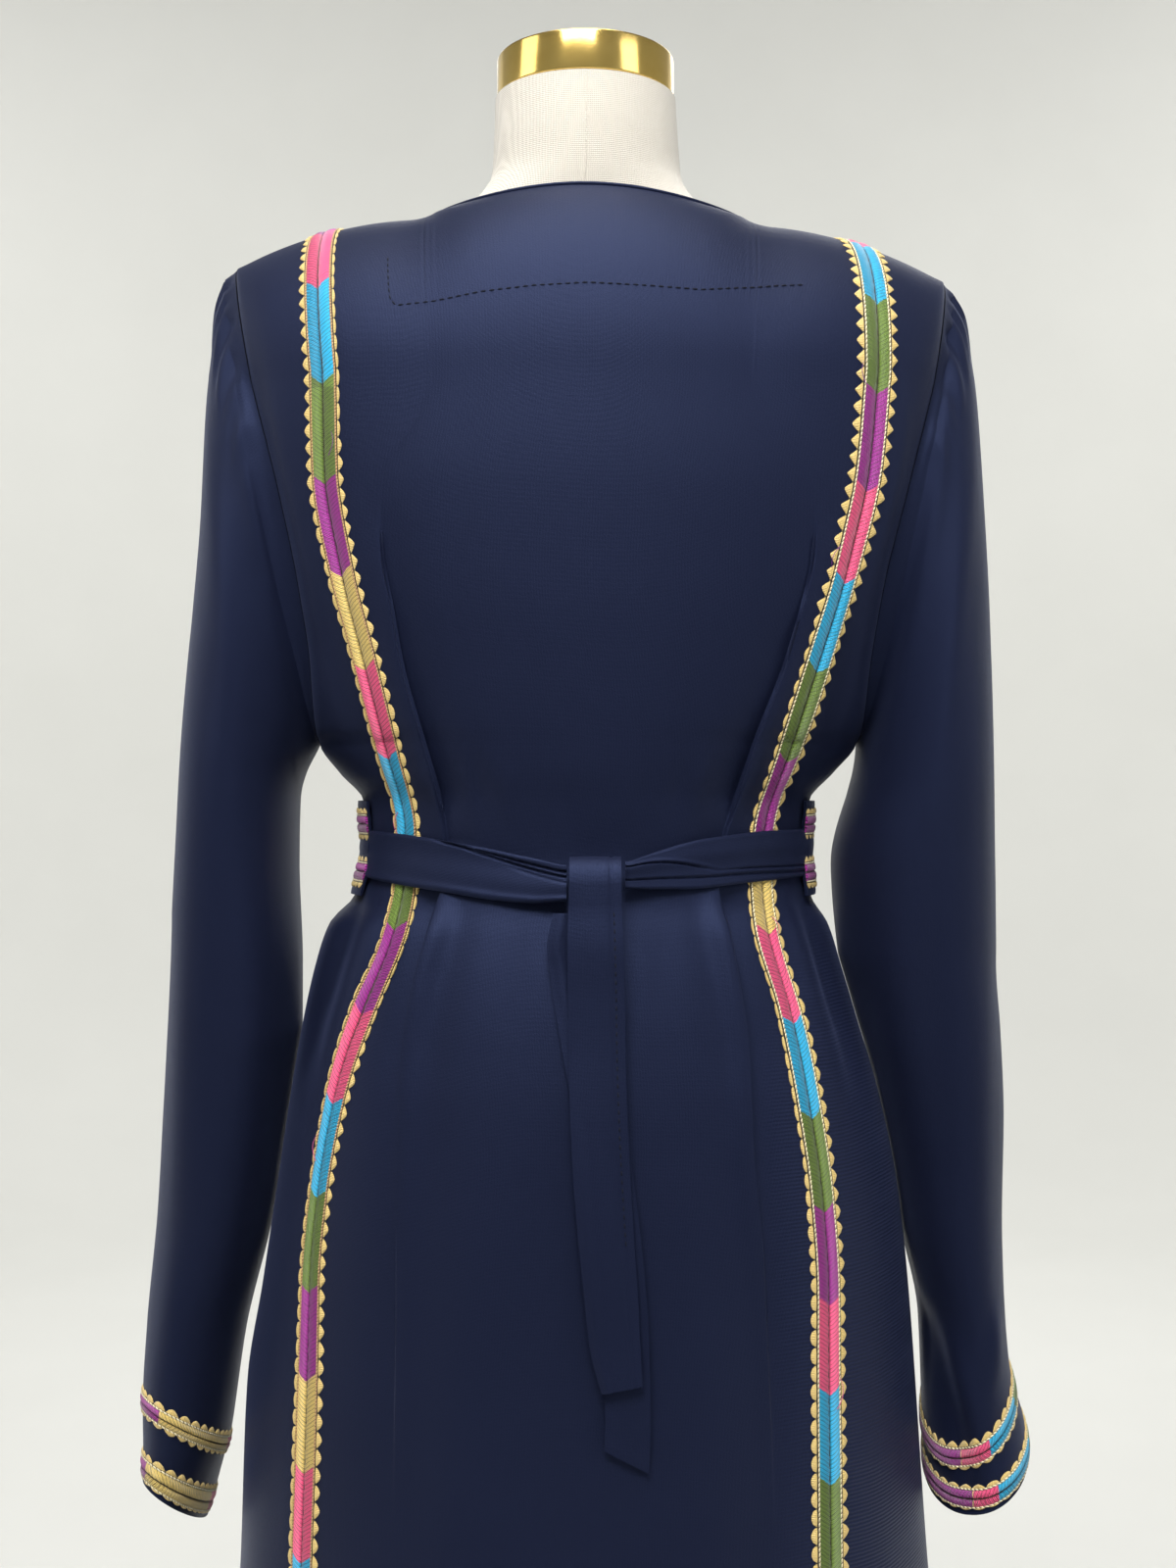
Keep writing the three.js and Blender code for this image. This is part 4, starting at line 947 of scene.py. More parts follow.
def linen():
    n = Nodes("linen_cream")
    place = n.place()
    sep = n.new("ShaderNodeSeparateXYZ")
    n.t.links.new(place, sep.inputs[0])
    slub = n.noise(place, 180.0, 3.0)
    warp = n.math("SINE", n.math("MULTIPLY", n.math("ADD", n.math("ADD", sep.outputs[0], n.math("MULTIPLY", sep.outputs[1], 0.6)), n.math("MULTIPLY", slub, 0.0006)), 2 * math.pi / 0.0011))
    weft = n.math("SINE", n.math("MULTIPLY", n.math("ADD", sep.outputs[2], n.math("MULTIPLY", slub, 0.0005)), 2 * math.pi / 0.0010))
    w = n.math("ADD", n.math("MULTIPLY", warp, 0.5), n.math("MULTIPLY", weft, 0.5))
    col = n.mix(n.math("MULTIPLY", n.math("ADD", w, 1.0), 0.5), srgb(180, 175, 165), srgb(206, 201, 191))
    col = n.mix(n.math("MULTIPLY", slub, 0.3), col, srgb(184, 174, 156))
    return n.set(color=col, rough=0.88, normal=n.bump(w, 0.5, 0.0003), sheen=0.25, sheen_rough=0.6)


def polished_gold(name):
    n = Nodes(name)
    place = n.place()
    wear = n.noise(place, 60.0, 4.0)
    brush = n.noise(place, 900.0, 2.0)
    col = n.mix(wear, srgb(214, 178, 92), srgb(236, 206, 128))
    rough = n.math("ADD", 0.10, n.math("MULTIPLY", wear, 0.10))
    return n.set(color=col, rough=rough, metal=1.0, normal=n.bump(brush, 0.05, 0.0002))


linen_mat = linen()
gold_metal = polished_gold("polished_gold")


# ---------------------------------------------------------------- panels
def columns(v, outer, inner):
    """u of every column at each v: columns close up beside the pleats, which end as the neck's corners."""
    z = np.minimum(v, BLADE_Z)
    corner = NECK_X / SHOULDER_X
    to_neck = smooth((v - 1226) / 62)
    left = np.arcsin(lerp(PLEATS["left"](z) / BODY["left"](z), -corner, to_neck))
    right = np.arcsin(lerp(PLEATS["right"](z) / BODY["right"](z), corner, to_neck))
    g = 1 - (1 - np.linspace(0, 1, outer + 1)) ** 1.55
    t = np.linspace(0, 1, inner + 1)
    m = lerp(t, smooth(t), 0.82)
    a = np.concatenate([-PI / 2 + (left[:, None] + PI / 2) * g[:-1], left[:, None] + (right - left)[:, None] * m[:-1],
                        PI / 2 - (PI / 2 - right[:, None]) * g[::-1]], 1)
    return np.sin(a)


def rows_up(steps):
    """Heights of the rows: each step is (up to, how far apart)."""
    out = [HEM_Z]
    for top, apart in steps:
        n = max(1, int(round((top - out[-1]) / apart)))
        out += list(np.linspace(out[-1], top, n + 1)[1:])
    return out


def panel_rows(fine):
    v = rows_up([(600, 13 / fine), (860, 7 / fine), (1110, 3.6 / fine), (BLADE_Z, 5.5 / fine)])
    v += list(np.linspace(BLADE_Z, BLADE_Z + TURN, int(19 * fine))[1:])
    if len(v) % 2 == 0:
        v.insert(1, (v[0] + v[1]) / 2)
    return np.array(v)


def panel(face, n_side, n_mid, fine):
    rows = panel_rows(fine)
    u = columns(rows, n_side, n_mid)
    v = rows[:, None] + 0 * u
    P = panel_point(face, u, v)
    sign = -1 if face == "back" else 1
    out = np.stack([u, sign * np.maximum(0.15, np.sqrt(np.clip(1 - u * u, 0, 1))),
                    1.2 * np.clip((v - BLADE_Z) / TURN, 0, 1)], -1)
    N = grid_normals(P, toward=out)
    # side and shoulder seams: square to each other, 0.3 mm apart
    for c in (0, -1):
        low = v[:, 0] <= ARMPIT_Z
        N[low, c, 1] = 0
        P[low, c, 1] = sign * 0.15
    top = np.abs(P[-1, :, 0]) >= NECK_X - 1e-6
    N[-1, top, 1] = 0
    P[-1, top, 1] = sign * 0.15
    N = unit(N)
    # the hem is turned up and stitched: a narrow thicker edge with a soft groove above it
    hem = P[..., 2] - HEM_Z
    P = P + N * (0.5 * np.exp(-(hem / 14) ** 4) - 0.5 * np.exp(-((hem - 22) / 3.0) ** 2))[..., None]
    mesh = Mesh()
    shell(mesh, P, N, 1.5, lay=cloth_lay(P))
    o = mesh.build(face + "_cloth", [navy])
    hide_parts(face + "_panel")
    return o, P, N


back, back_P, back_N = panel("back", 50, 90, 1.0)
front, front_P, front_N = panel("front", 34, 56, 0.85)


# ---------------------------------------------------------------- sleeves
def sleeve(side):
    # rows: finer by the cap and the cuff
    k = np.concatenate([np.linspace(-1, 0, 9)[:-1], np.linspace(0, 3, 37)[:-1], np.linspace(3, 11, 97)[:-1],
                        np.linspace(11, 16, 36)])
    if len(k) % 2 == 0:
        k = np.insert(k, -1, (k[-1] + k[-2]) / 2)
    n = 116
    a = np.arange(n) * 2 * math.pi / n
    K, A = np.meshgrid(k, a, indexing="ij")
    P = sleeve_point(side, K, A)
    centre = P.mean(1, keepdims=True)
    N = grid_normals(P, True, P - centre)
    N[0, :, 0] = 0
    N = unit(N)
    # the cuff's turned edge
    edge = np.clip((K - 15.4) / 0.6, 0, 1)
    P = P + N * (0.35 * np.sin(np.pi * edge) - 0.0)[..., None]
    mesh = Mesh()
    shell(mesh, P, N, 1.5, around=True, lay=cloth_lay(P))
    name = "left" if side < 0 else "right"
    o = mesh.build("sleeve_cloth_" + name, [navy_sleeve])
    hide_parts("sleeve_" + name)
    return o, P, N


sleeve_left, SL_P, SL_N = sleeve(-1)
sleeve_right, SR_P, SR_N = sleeve(1)


# ---------------------------------------------------------------- embroidered bands
class Strip:
    """A strip of surface: points and normals on a grid of s (along) and t (across), with on(s, t, h) between them."""

    def __init__(self, s, t, P, N, seg):
        self.s, self.t, self.P, self.N, self.seg = s, t, P, N, seg
        self.length = s[-1]

    def on(self, s, t, h):
        s, t, h = np.broadcast_arrays(np.asarray(s, float), np.asarray(t, float), np.asarray(h, float))
        i = np.clip(np.searchsorted(self.s, s, side="right") - 1, 0, len(self.s) - 2)
        j = np.clip(np.searchsorted(self.t, t, side="right") - 1, 0, len(self.t) - 2)
        a = np.clip((s - self.s[i]) / (self.s[i + 1] - self.s[i]), 0, 1)[..., None]
        b = ((t - self.t[j]) / (self.t[j + 1] - self.t[j]))[..., None]

        def mixed(G):
            return (1 - a) * ((1 - b) * G[i, j] + b * G[i, j + 1]) + a * ((1 - b) * G[i + 1, j] + b * G[i + 1, j + 1])
        return mixed(self.P) + h[..., None] * unit(mixed(self.N))

    def segment(self, s):
        return self.seg(s)


def panel_strip(face, side, v_from, v_to, seg_by_z, width=13.5, reach=BAND_TOP):
    """The strip of a panel under a long band, square across to the band's own line."""
    key = face + ("L" if side < 0 else "R")
    v = np.linspace(v_from, v_to, 1600)
    z = np.minimum(v, BLADE_Z)
    half = BODY["left"](z) if side < 0 else BODY["right"](z)
    u0 = BANDS[key](z) / half
    turn = np.clip((v - BLADE_Z) / TURN, 0, 1)
    u = lerp(u0, side * reach / SHOULDER_X, turn)
    C = panel_point(face, u, v)
    arc = np.concatenate([[0], np.cumsum(np.linalg.norm(np.diff(C, axis=0), axis=1))])
    n = int(arc[-1] / 2.2)
    s = np.linspace(0, arc[-1], n)
    u, v = np.interp(s, arc, u), np.interp(s, arc, v)
    C = panel_point(face, u, v)
    T = unit(np.gradient(C, axis=0))
    for _ in range(3):
        T[1:-1] = unit(T[:-2] + 2 * T[1:-1] + T[2:])
    Nc = panel_normal(face, u, v)
    B = unit(np.cross(T, Nc))
    if (B[:, 0].mean()) < 0:
        B = -B
    t = np.linspace(-width, width, 15)
    target = C[:, None] + t[None, :, None] * B[:, None]
    U = u[:, None] + t[None] * 0
    V = v[:, None] + t[None] * 0
    vmax, vmin = max(v_from, v_to), min(v_from, v_to)
    for _ in range(5):
        P = panel_point(face, U, V)
        e = 1e-3
        Uf = np.clip(U + e, -0.999, 0.999)
        Pu = (panel_point(face, Uf, V) - P) / (Uf - U)[..., None]
        Vf = np.where(V + 0.4 <= BLADE_Z + TURN, V + 0.4, V - 0.4)
        Pv = (panel_point(face, U, Vf) - P) / (Vf - V)[..., None]
        d = target - P
        a11, a12, a22 = (Pu * Pu).sum(-1), (Pu * Pv).sum(-1), (Pv * Pv).sum(-1)
        b1, b2 = (Pu * d).sum(-1), (Pv * d).sum(-1)
        det = np.maximum(a11 * a22 - a12 ** 2, 1e-9)
        U = np.clip(U + np.clip((a22 * b1 - a12 * b2) / det, -0.05, 0.05), -0.998, 0.998)
        V = np.clip(V + np.clip((a11 * b2 - a12 * b1) / det, -6, 6), HEM_Z, BLADE_Z + TURN)
    P = panel_point(face, U, V)
    N = panel_normal(face, U, V)
    zs = C[:, 2] if True else None
    mark = np.array([seg_by_z(a, b) for a, b in zip(v, s)]) if callable(seg_by_z) else None
    return Strip(s, t, P, N, lambda q, s=s, m=mark: np.interp(q, s, m))


def tooth_row(mesh, strip, side, pitch, inner, outer, sharp, mat, seed, s0=0.0, s1=None, high=0.9, fine=(9, 5), reach_at=None):
    """Scalloped or pointed teeth along one edge, a little uneven."""
    rng = np.random.default_rng(seed)
    s1 = strip.length if s1 is None else s1
    count = int(round((s1 - s0) / pitch))
    pitch = (s1 - s0) / count
    mids = s0 + pitch * (np.arange(count) + 0.5)
    na, nb = fine
    f = np.linspace(-1, 1, na)
    q = np.linspace(0, 1, nb)
    F, Q = np.meshgrid(f, q)
    verts, lays = [], []
    for m in mids:
        reach = (outer - inner) * (1 + rng.uniform(-0.09, 0.07))
        share, pointed = reach_at(side, m) if reach_at else (1.0, sharp(m))
        k = np.clip(pointed + rng.uniform(-0.12, 0.12), 0, 1)
        half = pitch * 0.5 * (0.95 + rng.uniform(-0.03, 0.02))
        reach = reach * share
        scallop = np.sqrt(np.clip(1 - (0.98 * Q) ** 5.0, 0, 1))
        point = 1 - 0.93 * Q
        w = half * lerp(scallop, point, k)
        lean = rng.uniform(-0.25, 0.25) * Q
        S = np.clip(m + F * w + lean, s0, s1)
        Tt = side * (inner + reach * Q)
        top = high * (1 - 0.75 * np.abs(F) ** 3) * (1 - 0.6 * Q ** 3) * (0.55 + 0.45 * np.sin(np.pi * np.clip(Q * 0.8 + 0.12, 0, 1)))
        H = 0.25 + top
        Pt = strip.on(S, Tt, H)
        Pb = strip.on(S, Tt, 0.05)
        verts.append(np.stack([Pt, Pb]))
        lays.append(np.stack([np.stack([Tt, S, 0 * S], -1)] * 2))
    V = np.array(verts)                      # count, 2, nb, na, 3
    L = np.array(lays)
    one_top = quads(nb, na)
    one_bot = one_top[:, ::-1] + na * nb
    ring = list(range(na)) + [r * na + na - 1 for r in range(1, nb)] + [(nb - 1) * na + c for c in range(na - 2, -1, -1)] + [r * na for r in range(nb - 2, 0, -1)]
    ring = np.array(ring)
    nxt = np.roll(ring, -1)
    wall_ = np.stack([ring, ring + na * nb, nxt + na * nb, nxt], -1)
    # the bottom is seen by nobody and lies on the cloth: one face
    bottom = (ring + na * nb)[::-1][None]
    faces_q = np.concatenate([one_top, wall_])
    size = 2 * na * nb
    base = (np.arange(count) * size)[:, None, None]
    q4 = (faces_q[None] + base).reshape(-1, 4)
    qb = (bottom[None] + base).reshape(-1, bottom.shape[1])
    a = np.cross(V[0, 0, 0, 1] - V[0, 0, 0, 0], V[0, 0, 1, 0] - V[0, 0, 0, 0]) @ (V[0, 0, 1, 1] - V[0, 1, 1, 1])
    faces = [q4, qb]
    if a < 0:
        faces = [x[:, ::-1] for x in faces]
    mesh.add(V, faces, mat, L)


def ribbon(mesh, strip, s, prof, mat, notch=None):
    """A closed strip of the given cross-section, a loop of (t, h), along s."""
    prof = np.asarray(prof, float)
    S = np.repeat(s[:, None], len(prof), 1)
    Tt = np.repeat(prof[None, :, 0], len(s), 0)
    H = np.repeat(prof[None, :, 1], len(s), 0)
    if notch is not None:
        Tt, H = notch(S, Tt, H)
    P = strip.on(S, Tt, H)
    n = len(prof)
    q = quads(len(s), n, True)
    ends = [np.arange(n)[::-1][None], ((len(s) - 1) * n + np.arange(n))[None]]
    faces = [q] + ends
    # outward test on the first ring's highest point
    c = P[0].mean(0)
    i = int(np.argmax(prof[:, 1]))
    nn = np.cross(P[0, (i + 1) % n] - P[0, i], P[1, i] - P[0, i])
    if nn @ (P[0, i] - c) < 0:
        faces = [x[:, ::-1] for x in faces]
    seg = strip.segment(S)
    mesh.add(P, faces, mat, np.stack([Tt, S, seg], -1))


def embroider(name, strip, node, core=6.2, half=11.6, step=1.4, pitch=8.7, sharp=None, seed=1, mats=None,
              tooth=(9, 5), core_high=1.75, s0=0.0, s1=None, loose=(), reach_at=None):
    """One embroidered band: ground, two padded satin halves, a pale cord and a dark line on each side, and gold teeth."""
    mats = mats or [satin_right, gold_teeth, pale_cord, dark_line, gold_base, loose_pink, loose_violet]
    sharp = sharp or (lambda m: 0.5)
    s1 = strip.length if s1 is None else s1
    mesh = Mesh()
    n = max(4, int((s1 - s0) / step))
    s = np.linspace(s0, s1, n)
    wide = np.linspace(s0, s1, max(4, int((s1 - s0) / (step * 2.2))))
    edge = core + 0.42 * (half - core)
    # ground: dark thread under the cords, flat
    ribbon(mesh, strip, wide, [(-edge, 0.06), (-edge, 0.42), (-core * 0.5, 0.5), (core * 0.5, 0.5), (edge, 0.42), (edge, 0.06)], 3)
    # padded halves
    for side in (-1, 1):
        q = np.linspace(0, 1, 7)
        top = [(side * lerp(0.18, core, x), 0.5 + (core_high - 0.5) * (math.sin(math.pi * min(1, 0.08 + 0.86 * x)) ** 0.62)) for x in q]
        loop = [(side * 0.18, 0.32)] + top + [(side * core, 0.32)]

        def notch(S, Tt, H, side=side):
            inner = np.abs(Tt) < 0.2
            saw = ((S + (0.0 if side < 0 else 0.9)) / 1.8) % 1.0
            return np.where(inner & (H > 0.4), Tt + side * 0.55 * saw, Tt), np.where(inner & (H > 0.4), H - 0.15 * saw, H)
        ribbon(mesh, strip, s, loop, 0, notch)
    # cords and the gold teeth on each side
    for side in (-1, 1):
        t = core + 0.5
        line = strip.on(wide, side * t, 0.85)
        up = unit(strip.on(wide, side * t, 2.0) - strip.on(wide, side * t, 0.0))
        tube(mesh, line, 0.44, 6, 2, np.stack([0 * wide, wide, 0 * wide], -1), up, 0.85)
        tooth_row(mesh, strip, side, pitch, core + min(1.75, 0.32 * (half - core)), half, sharp, 1, seed * 10 + side + 1, s0, s1, fine=tooth, reach_at=reach_at)
    for at, t0, reach, mat in loose:
        # a loose thread end, lying on the band and curling off it
        w = np.linspace(0, 1, 12)
        S = np.clip(at + reach * w, s0, s1)
        Tt = t0 + 3.2 * np.sin(w * 2.6) * (1 if t0 > 0 else -1)
        line = strip.on(S, Tt, 1.9 + 1.1 * np.sin(w * math.pi))
        tube(mesh, line, 0.22 * (1 - 0.5 * w), 5, mat)
    o = mesh.build(name, mats, angle=42)
    if node:
        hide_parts(node)
    return o


LEFT_JOINTS = [1341, 1289, 1239, 1191, 1144, 1098, 1053, 1009, 965.5, 921, 872, 825, 781, 737, 692]
RIGHT_JOINTS = [1333, 1285, 1234, 1188, 1142, 1097, 1053, 1008, 962, 916, 869, 822, 779, 735]


def segment_marks(face, side, strip_s, strip_z, joints, first):
    """Continuous segment number along a strip: it passes a whole number at each change of colour."""
    z = np.array(joints[::-1], float)
    m = np.array([first + i for i in range(len(joints))][::-1], float)
    low = z[0] - 48.5 * np.arange(1, 16)[::-1]
    z = np.concatenate([low, z])
    m = np.concatenate([m[0] + np.arange(1, 16)[::-1], m])
    return np.interp(strip_z, z, m)


def long_band(face, side, joints, first, step, tooth, seed, sharp, loose=(), mats=None, reach_at=None):
    name = face + "_band_" + ("left" if side < 0 else "right")
    probe = panel_strip(face, side, HEM_Z + 0.5, BLADE_Z + TURN - 0.3, lambda a, b: 0.0)
    mid = probe.P[:, 7]
    z = mid[:, 2]
    s = probe.s
    marks = segment_marks(face, side, s, z, joints, first)
    top = int(np.argmax(z > joints[0])) if face == "back" else None
    if face == "back":
        # above the first change the number falls with the length left
        marks = np.where(z > joints[0], marks[top] - (s - s[top]) / 50.0, marks)
        probe.top_mark = marks[-1]
    strip = Strip(s, probe.t, probe.P, probe.N, lambda q: np.interp(q, s, marks))
    strip.top_mark = marks[-1]
    o = embroider(name + "_stitching", strip, name, step=step, sharp=sharp, seed=seed, tooth=tooth, loose=loose,
                  mats=mats, reach_at=reach_at, half=10.9 if side < 0 else 11.8)
    return o, strip


def front_long_band(side, top_mark, step, tooth, seed, sharp):
    """The front bands carry the same colours on, down from the shoulder seam."""
    name = "front_band_" + ("left" if side < 0 else "right")
    probe = panel_strip("front", side, HEM_Z + 0.5, BLADE_Z + TURN - 0.3, lambda a, b: 0.0)
    s = probe.s
    marks = top_mark - (s[-1] - s) / 49.0
    # colours change with the V pointing down here too
    strip = Strip(s, probe.t, probe.P, probe.N, lambda q: np.interp(q, s, marks))
    return embroider(name + "_stitching", strip, name, step=step, sharp=sharp, seed=seed, tooth=tooth)


def edging(outer, inner, side):
    """How far the teeth reach and how pointed they are, by height, on the band's two edges: rows of z, reach, pointed."""
    rows = {side: np.array(outer, float), -side: np.array(inner, float)}

    def at(which, m):
        r = rows[which]
        return np.interp(m + 75, r[:, 0], r[:, 1]), np.interp(m + 75, r[:, 0], r[:, 2])
    return at


LEFT_EDGES = edging(
    [(70, 0.85, 0.15), (860, 0.80, 0.15), (885, 0.45, 0.10), (1020, 0.32, 0.10), (1070, 0.60, 0.10), (1130, 0.66, 0.12),
     (1235, 0.75, 0.15), (1262, 0.95, 0.62), (1390, 0.95, 0.75)],
    [(70, 0.95, 0.45), (870, 0.95, 0.70), (952, 0.85, 0.70), (966, 0.35, 0.20), (1020, 0.30, 0.10), (1070, 0.80, 0.25),
     (1140, 0.85, 0.35), (1165, 0.85, 0.75), (1270, 0.72, 0.80), (1290, 0.42, 0.20), (1390, 0.40, 0.20)], -1)
RIGHT_EDGES = edging(
    [(70, 1.0, 0.45), (880, 0.92, 0.60), (955, 0.72, 0.45), (1020, 0.60, 0.30), (1070, 0.90, 0.85), (1390, 1.0, 0.92)],
    [(70, 0.85, 0.35), (850, 0.78, 0.35), (905, 0.42, 0.15), (1020, 0.32, 0.10), (1062, 0.40, 0.60), (1180, 0.42, 0.70),
     (1196, 0.95, 0.88), (1390, 1.0, 0.92)], 1)

left_mats = [satin_left, gold_teeth, brown_cord, dark_line, gold_base, loose_pink, loose_violet]
bl, bl_strip = long_band("back", -1, LEFT_JOINTS, 1, 1.4, (7, 4), 3,
                         lambda m: 0.10 + 0.75 * (m > 1130) + 0.10 * math.sin(m / 90),
                         [(820, -4, 14, 5), (520, 5, 10, 6), (1010, -3, -12, 5), (1200, 3, 12, 6)], left_mats, LEFT_EDGES)
br, br_strip = long_band("back", 1, RIGHT_JOINTS, 7, 1.4, (7, 4), 7,
                         lambda m: 0.42 + 0.46 * (m > 900) + 0.12 * math.sin(m / 110 + 1.0),
                         [(700, 4, 16, 5), (1150, -8, -12, 6), (1235, -7, 12, 6), (430, -4, 12, 5), (950, 3, -10, 5)],
                         None, RIGHT_EDGES)
fl = front_long_band(-1, bl_strip.top_mark, 2.4, (6, 3), 11, lambda m: 0.45 + 0.3 * math.sin(m / 120))
fr = front_long_band(1, br_strip.top_mark, 2.4, (6, 3), 13, lambda m: 0.5 + 0.3 * math.sin(m / 100 + 2))


# ---------------------------------------------------------------- cuff bands
def ring_strip(side, k0, k1, marks, flip=False):
    """A strip round a sleeve between two rings; s runs round from the underarm by the back, t across."""
    n = 150
    a = np.linspace(0, 2 * math.pi, n + 1)
    t = np.linspace(-1.25, 1.25, 11)
    mid = (k0 + k1) / 2
    A, Tt = np.meshgrid(a, t, indexing="ij")
    K = mid - Tt * (k1 - k0) / 2
    P = sleeve_point(side, K, A)
    e = 0.01
    du = sleeve_point(side, K, A + e) - sleeve_point(side, K, A - e)
    dk = sleeve_point(side, np.minimum(K + 0.05, 16), A) - sleeve_point(side, K - 0.05, A)
    N = unit(np.cross(du, dk))
    out = P - P.mean((0, 1), keepdims=True)
    out[..., 2] = 0
    N = np.where((N * out).sum(-1, keepdims=True) < 0, -N, N)
    c = P[:, 5]
    s = np.concatenate([[0], np.cumsum(np.linalg.norm(np.diff(c, axis=0), axis=1))])
    wide = np.linalg.norm(P[:, -1] - P[:, 0], axis=1).mean() / 2.5 * 1.0   # mm for t = 1
    m = marks(a)
    return Strip(s, t * wide, P, N, lambda q: np.interp(q, s, m)), wide


CUFF_STOPS = [VIOLET, GOLD, PINK, CYAN, GREEN]
satin_cuff = satin("satin_cuff", CUFF_STOPS, 5, junction=0.04)
cuff_mats = [satin_cuff, gold_teeth, pale_cord, dark_line, gold_base, loose_pink, loose_violet]


def cuff_marks(side, changes):
    """Colour number by the angle round: violet 0, gold 1, pink 2, cyan 3, green 4."""
    def marks(a):
        out = np.zeros(a.shape)
        last = changes[0][0]
        for (a0, col), (a1, _) in zip(changes, changes[1:] + [(2 * math.pi + 0.01, None)]):
            inside = (a >= a0) & (a < a1)
            out[inside] = col + 0.5
        return out
    return marks


def cuff(side, which, k0, k1, changes, seed):
    name = f"cuff_band_{which}_" + ("left" if side < 0 else "right")
    strip, wide = ring_strip(side, k0, k1, cuff_marks(side, changes))
    half = wide * 1.0
    return embroider(name + "_stitching", strip, name, core=half * 0.55, half=half, step=1.1, pitch=8.2,
                     sharp=lambda m: 0.5 + 0.2 * math.sin(m / 23), seed=seed, mats=cuff_mats, tooth=(9, 4), core_high=1.5)


cuffs = [
    cuff(-1, "upper", 12, 13, [(0, 1), (0.55 * PI, 0), (1.12 * PI, 4), (1.4 * PI, 3), (1.7 * PI, 2)], 21),
    cuff(-1, "lower", 14, 15, [(0, 1), (0.64 * PI, 0), (1.15 * PI, 4), (1.4 * PI, 3), (1.7 * PI, 2)], 22),
    cuff(1, "upper", 12, 13, [(0, 0), (0.32 * PI, 2), (0.52 * PI, 3), (0.80 * PI, 4), (1.2 * PI, 1), (1.6 * PI, 0)], 23),
    cuff(1, "lower", 14, 15, [(0, 0), (0.375 * PI, 2), (0.53 * PI, 3), (0.86 * PI, 4), (1.2 * PI, 1), (1.6 * PI, 0)], 24),
]


# ---------------------------------------------------------------- belt
def belt_strip(z0, z1, off):
    """The front belt's path: from behind one side, round the front, to behind the other. s along, t up."""
    a_back = np.radians(np.linspace(69.5, 90, 12)[:-1])
    a_front = np.radians(np.linspace(-90, 90, 120))
    parts = []
    t = np.linspace(0, 1, 9)
    z = lerp(z0, z1, t)

    def col(face, ang):
        u = np.full(z.shape, np.clip(math.sin(ang), -0.9999, 0.9999))
        return panel_point(face, u, z, folds=False)
    for ang in a_back:
        parts.append(col("back", -ang))
    cols = parts + [col("front", ang) for ang in a_front] + [col("back", ang) for ang in a_back[::-1]]
    P = np.array(cols)
    du = np.gradient(P, axis=0)
    dv = np.gradient(P, axis=1)
    N = unit(np.cross(du, dv))
    out = P.copy()
    out[..., 2] = 0
    N = np.where((N * out).sum(-1, keepdims=True) < 0, -N, N)
    N[..., 2] *= 0.4
    N = unit(N)
    P = P + N * off
    s = np.concatenate([[0], np.cumsum(np.linalg.norm(np.diff(P[:, 4], axis=0), axis=1))])
    half = np.linalg.norm(P[len(P) // 2, -1] - P[len(P) // 2, 0]) / 2
    return Strip(s, (t * 2 - 1) * half, P, N, lambda q: q * 0), half


def belt_front():
    strip, half = belt_strip(1020, 1071, 2.0)
    n = 181
    s = np.linspace(0, strip.length, n)
    t = np.linspace(-half, half, 25)
    S, Tt = np.meshgrid(s, t, indexing="ij")
    q = Tt / half
    # soft swell between the bands and at the edges, with small puckers along them
    h = 1.5 + 0.9 * np.exp(-(q / 0.16) ** 2) + 0.35 * np.sin(S / 9.0 + 1.5 * np.sin(S / 31)) * np.exp(-((np.abs(q) - 0.12) / 0.1) ** 2)
    h = h - 0.5 * np.exp(-((np.abs(q) - 1) / 0.06) ** 2)
    P = strip.on(S, Tt, h)
    N = unit(strip.on(S, Tt, 3.0) - strip.on(S, Tt, 0.0))
    mesh = Mesh()
    shell(mesh, P, N, 1.4, lay=cloth_lay(P))
    o = mesh.build("belt_front_cloth", [navy_belt])
    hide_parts("belt_front")
    return o


belt = belt_front()
BELT_STOPS = [VIOLET, VIOLET, PINK, VIOLET, GOLD, VIOLET, CYAN, VIOLET]
satin_belt = satin("satin_belt", BELT_STOPS, 8, junction=0.06)
belt_mats = [satin_belt, gold_teeth, pale_cord, dark_line, gold_base, loose_pink, loose_violet]


def belt_band(name, z0, z1, seed):
    strip, half = belt_strip(z0, z1, 3.6)
    L = strip.length
    # violet at both ends, the other colours round the front
    strip.seg = lambda q: (np.abs(q - L / 2) < 0.36 * L) * (q / L * 13.0) * 1.0 + (np.abs(q - L / 2) >= 0.36 * L) * 0.4
    return embroider(name + "_stitching", strip, name, core=half * 0.52, half=half * 1.02, step=1.8, pitch=6.6,
                     sharp=lambda m: 0.7, seed=seed, mats=belt_mats, tooth=(6, 4), core_high=1.5)


belt_bands = [belt_band("belt_band_lower", 1024, 1041, 31), belt_band("belt_band_upper", 1050, 1067, 32)]


def back_at(x, z, folds=False):
    """The back's outer surface by x and z, below the armpit."""
    x, z = np.broadcast_arrays(np.asarray(x, float), np.asarray(z, float))
    half = np.where(x < 0, BODY["left"](z), BODY["right"](z))
    return panel_point("back", np.clip(x / half, -0.995, 0.995), z, folds)


def back_normal(x, z):
    e = 0.6
    n = np.cross(back_at(x + e, z) - back_at(x - e, z), back_at(x, z + e) - back_at(x, z - e))
    return unit(n)


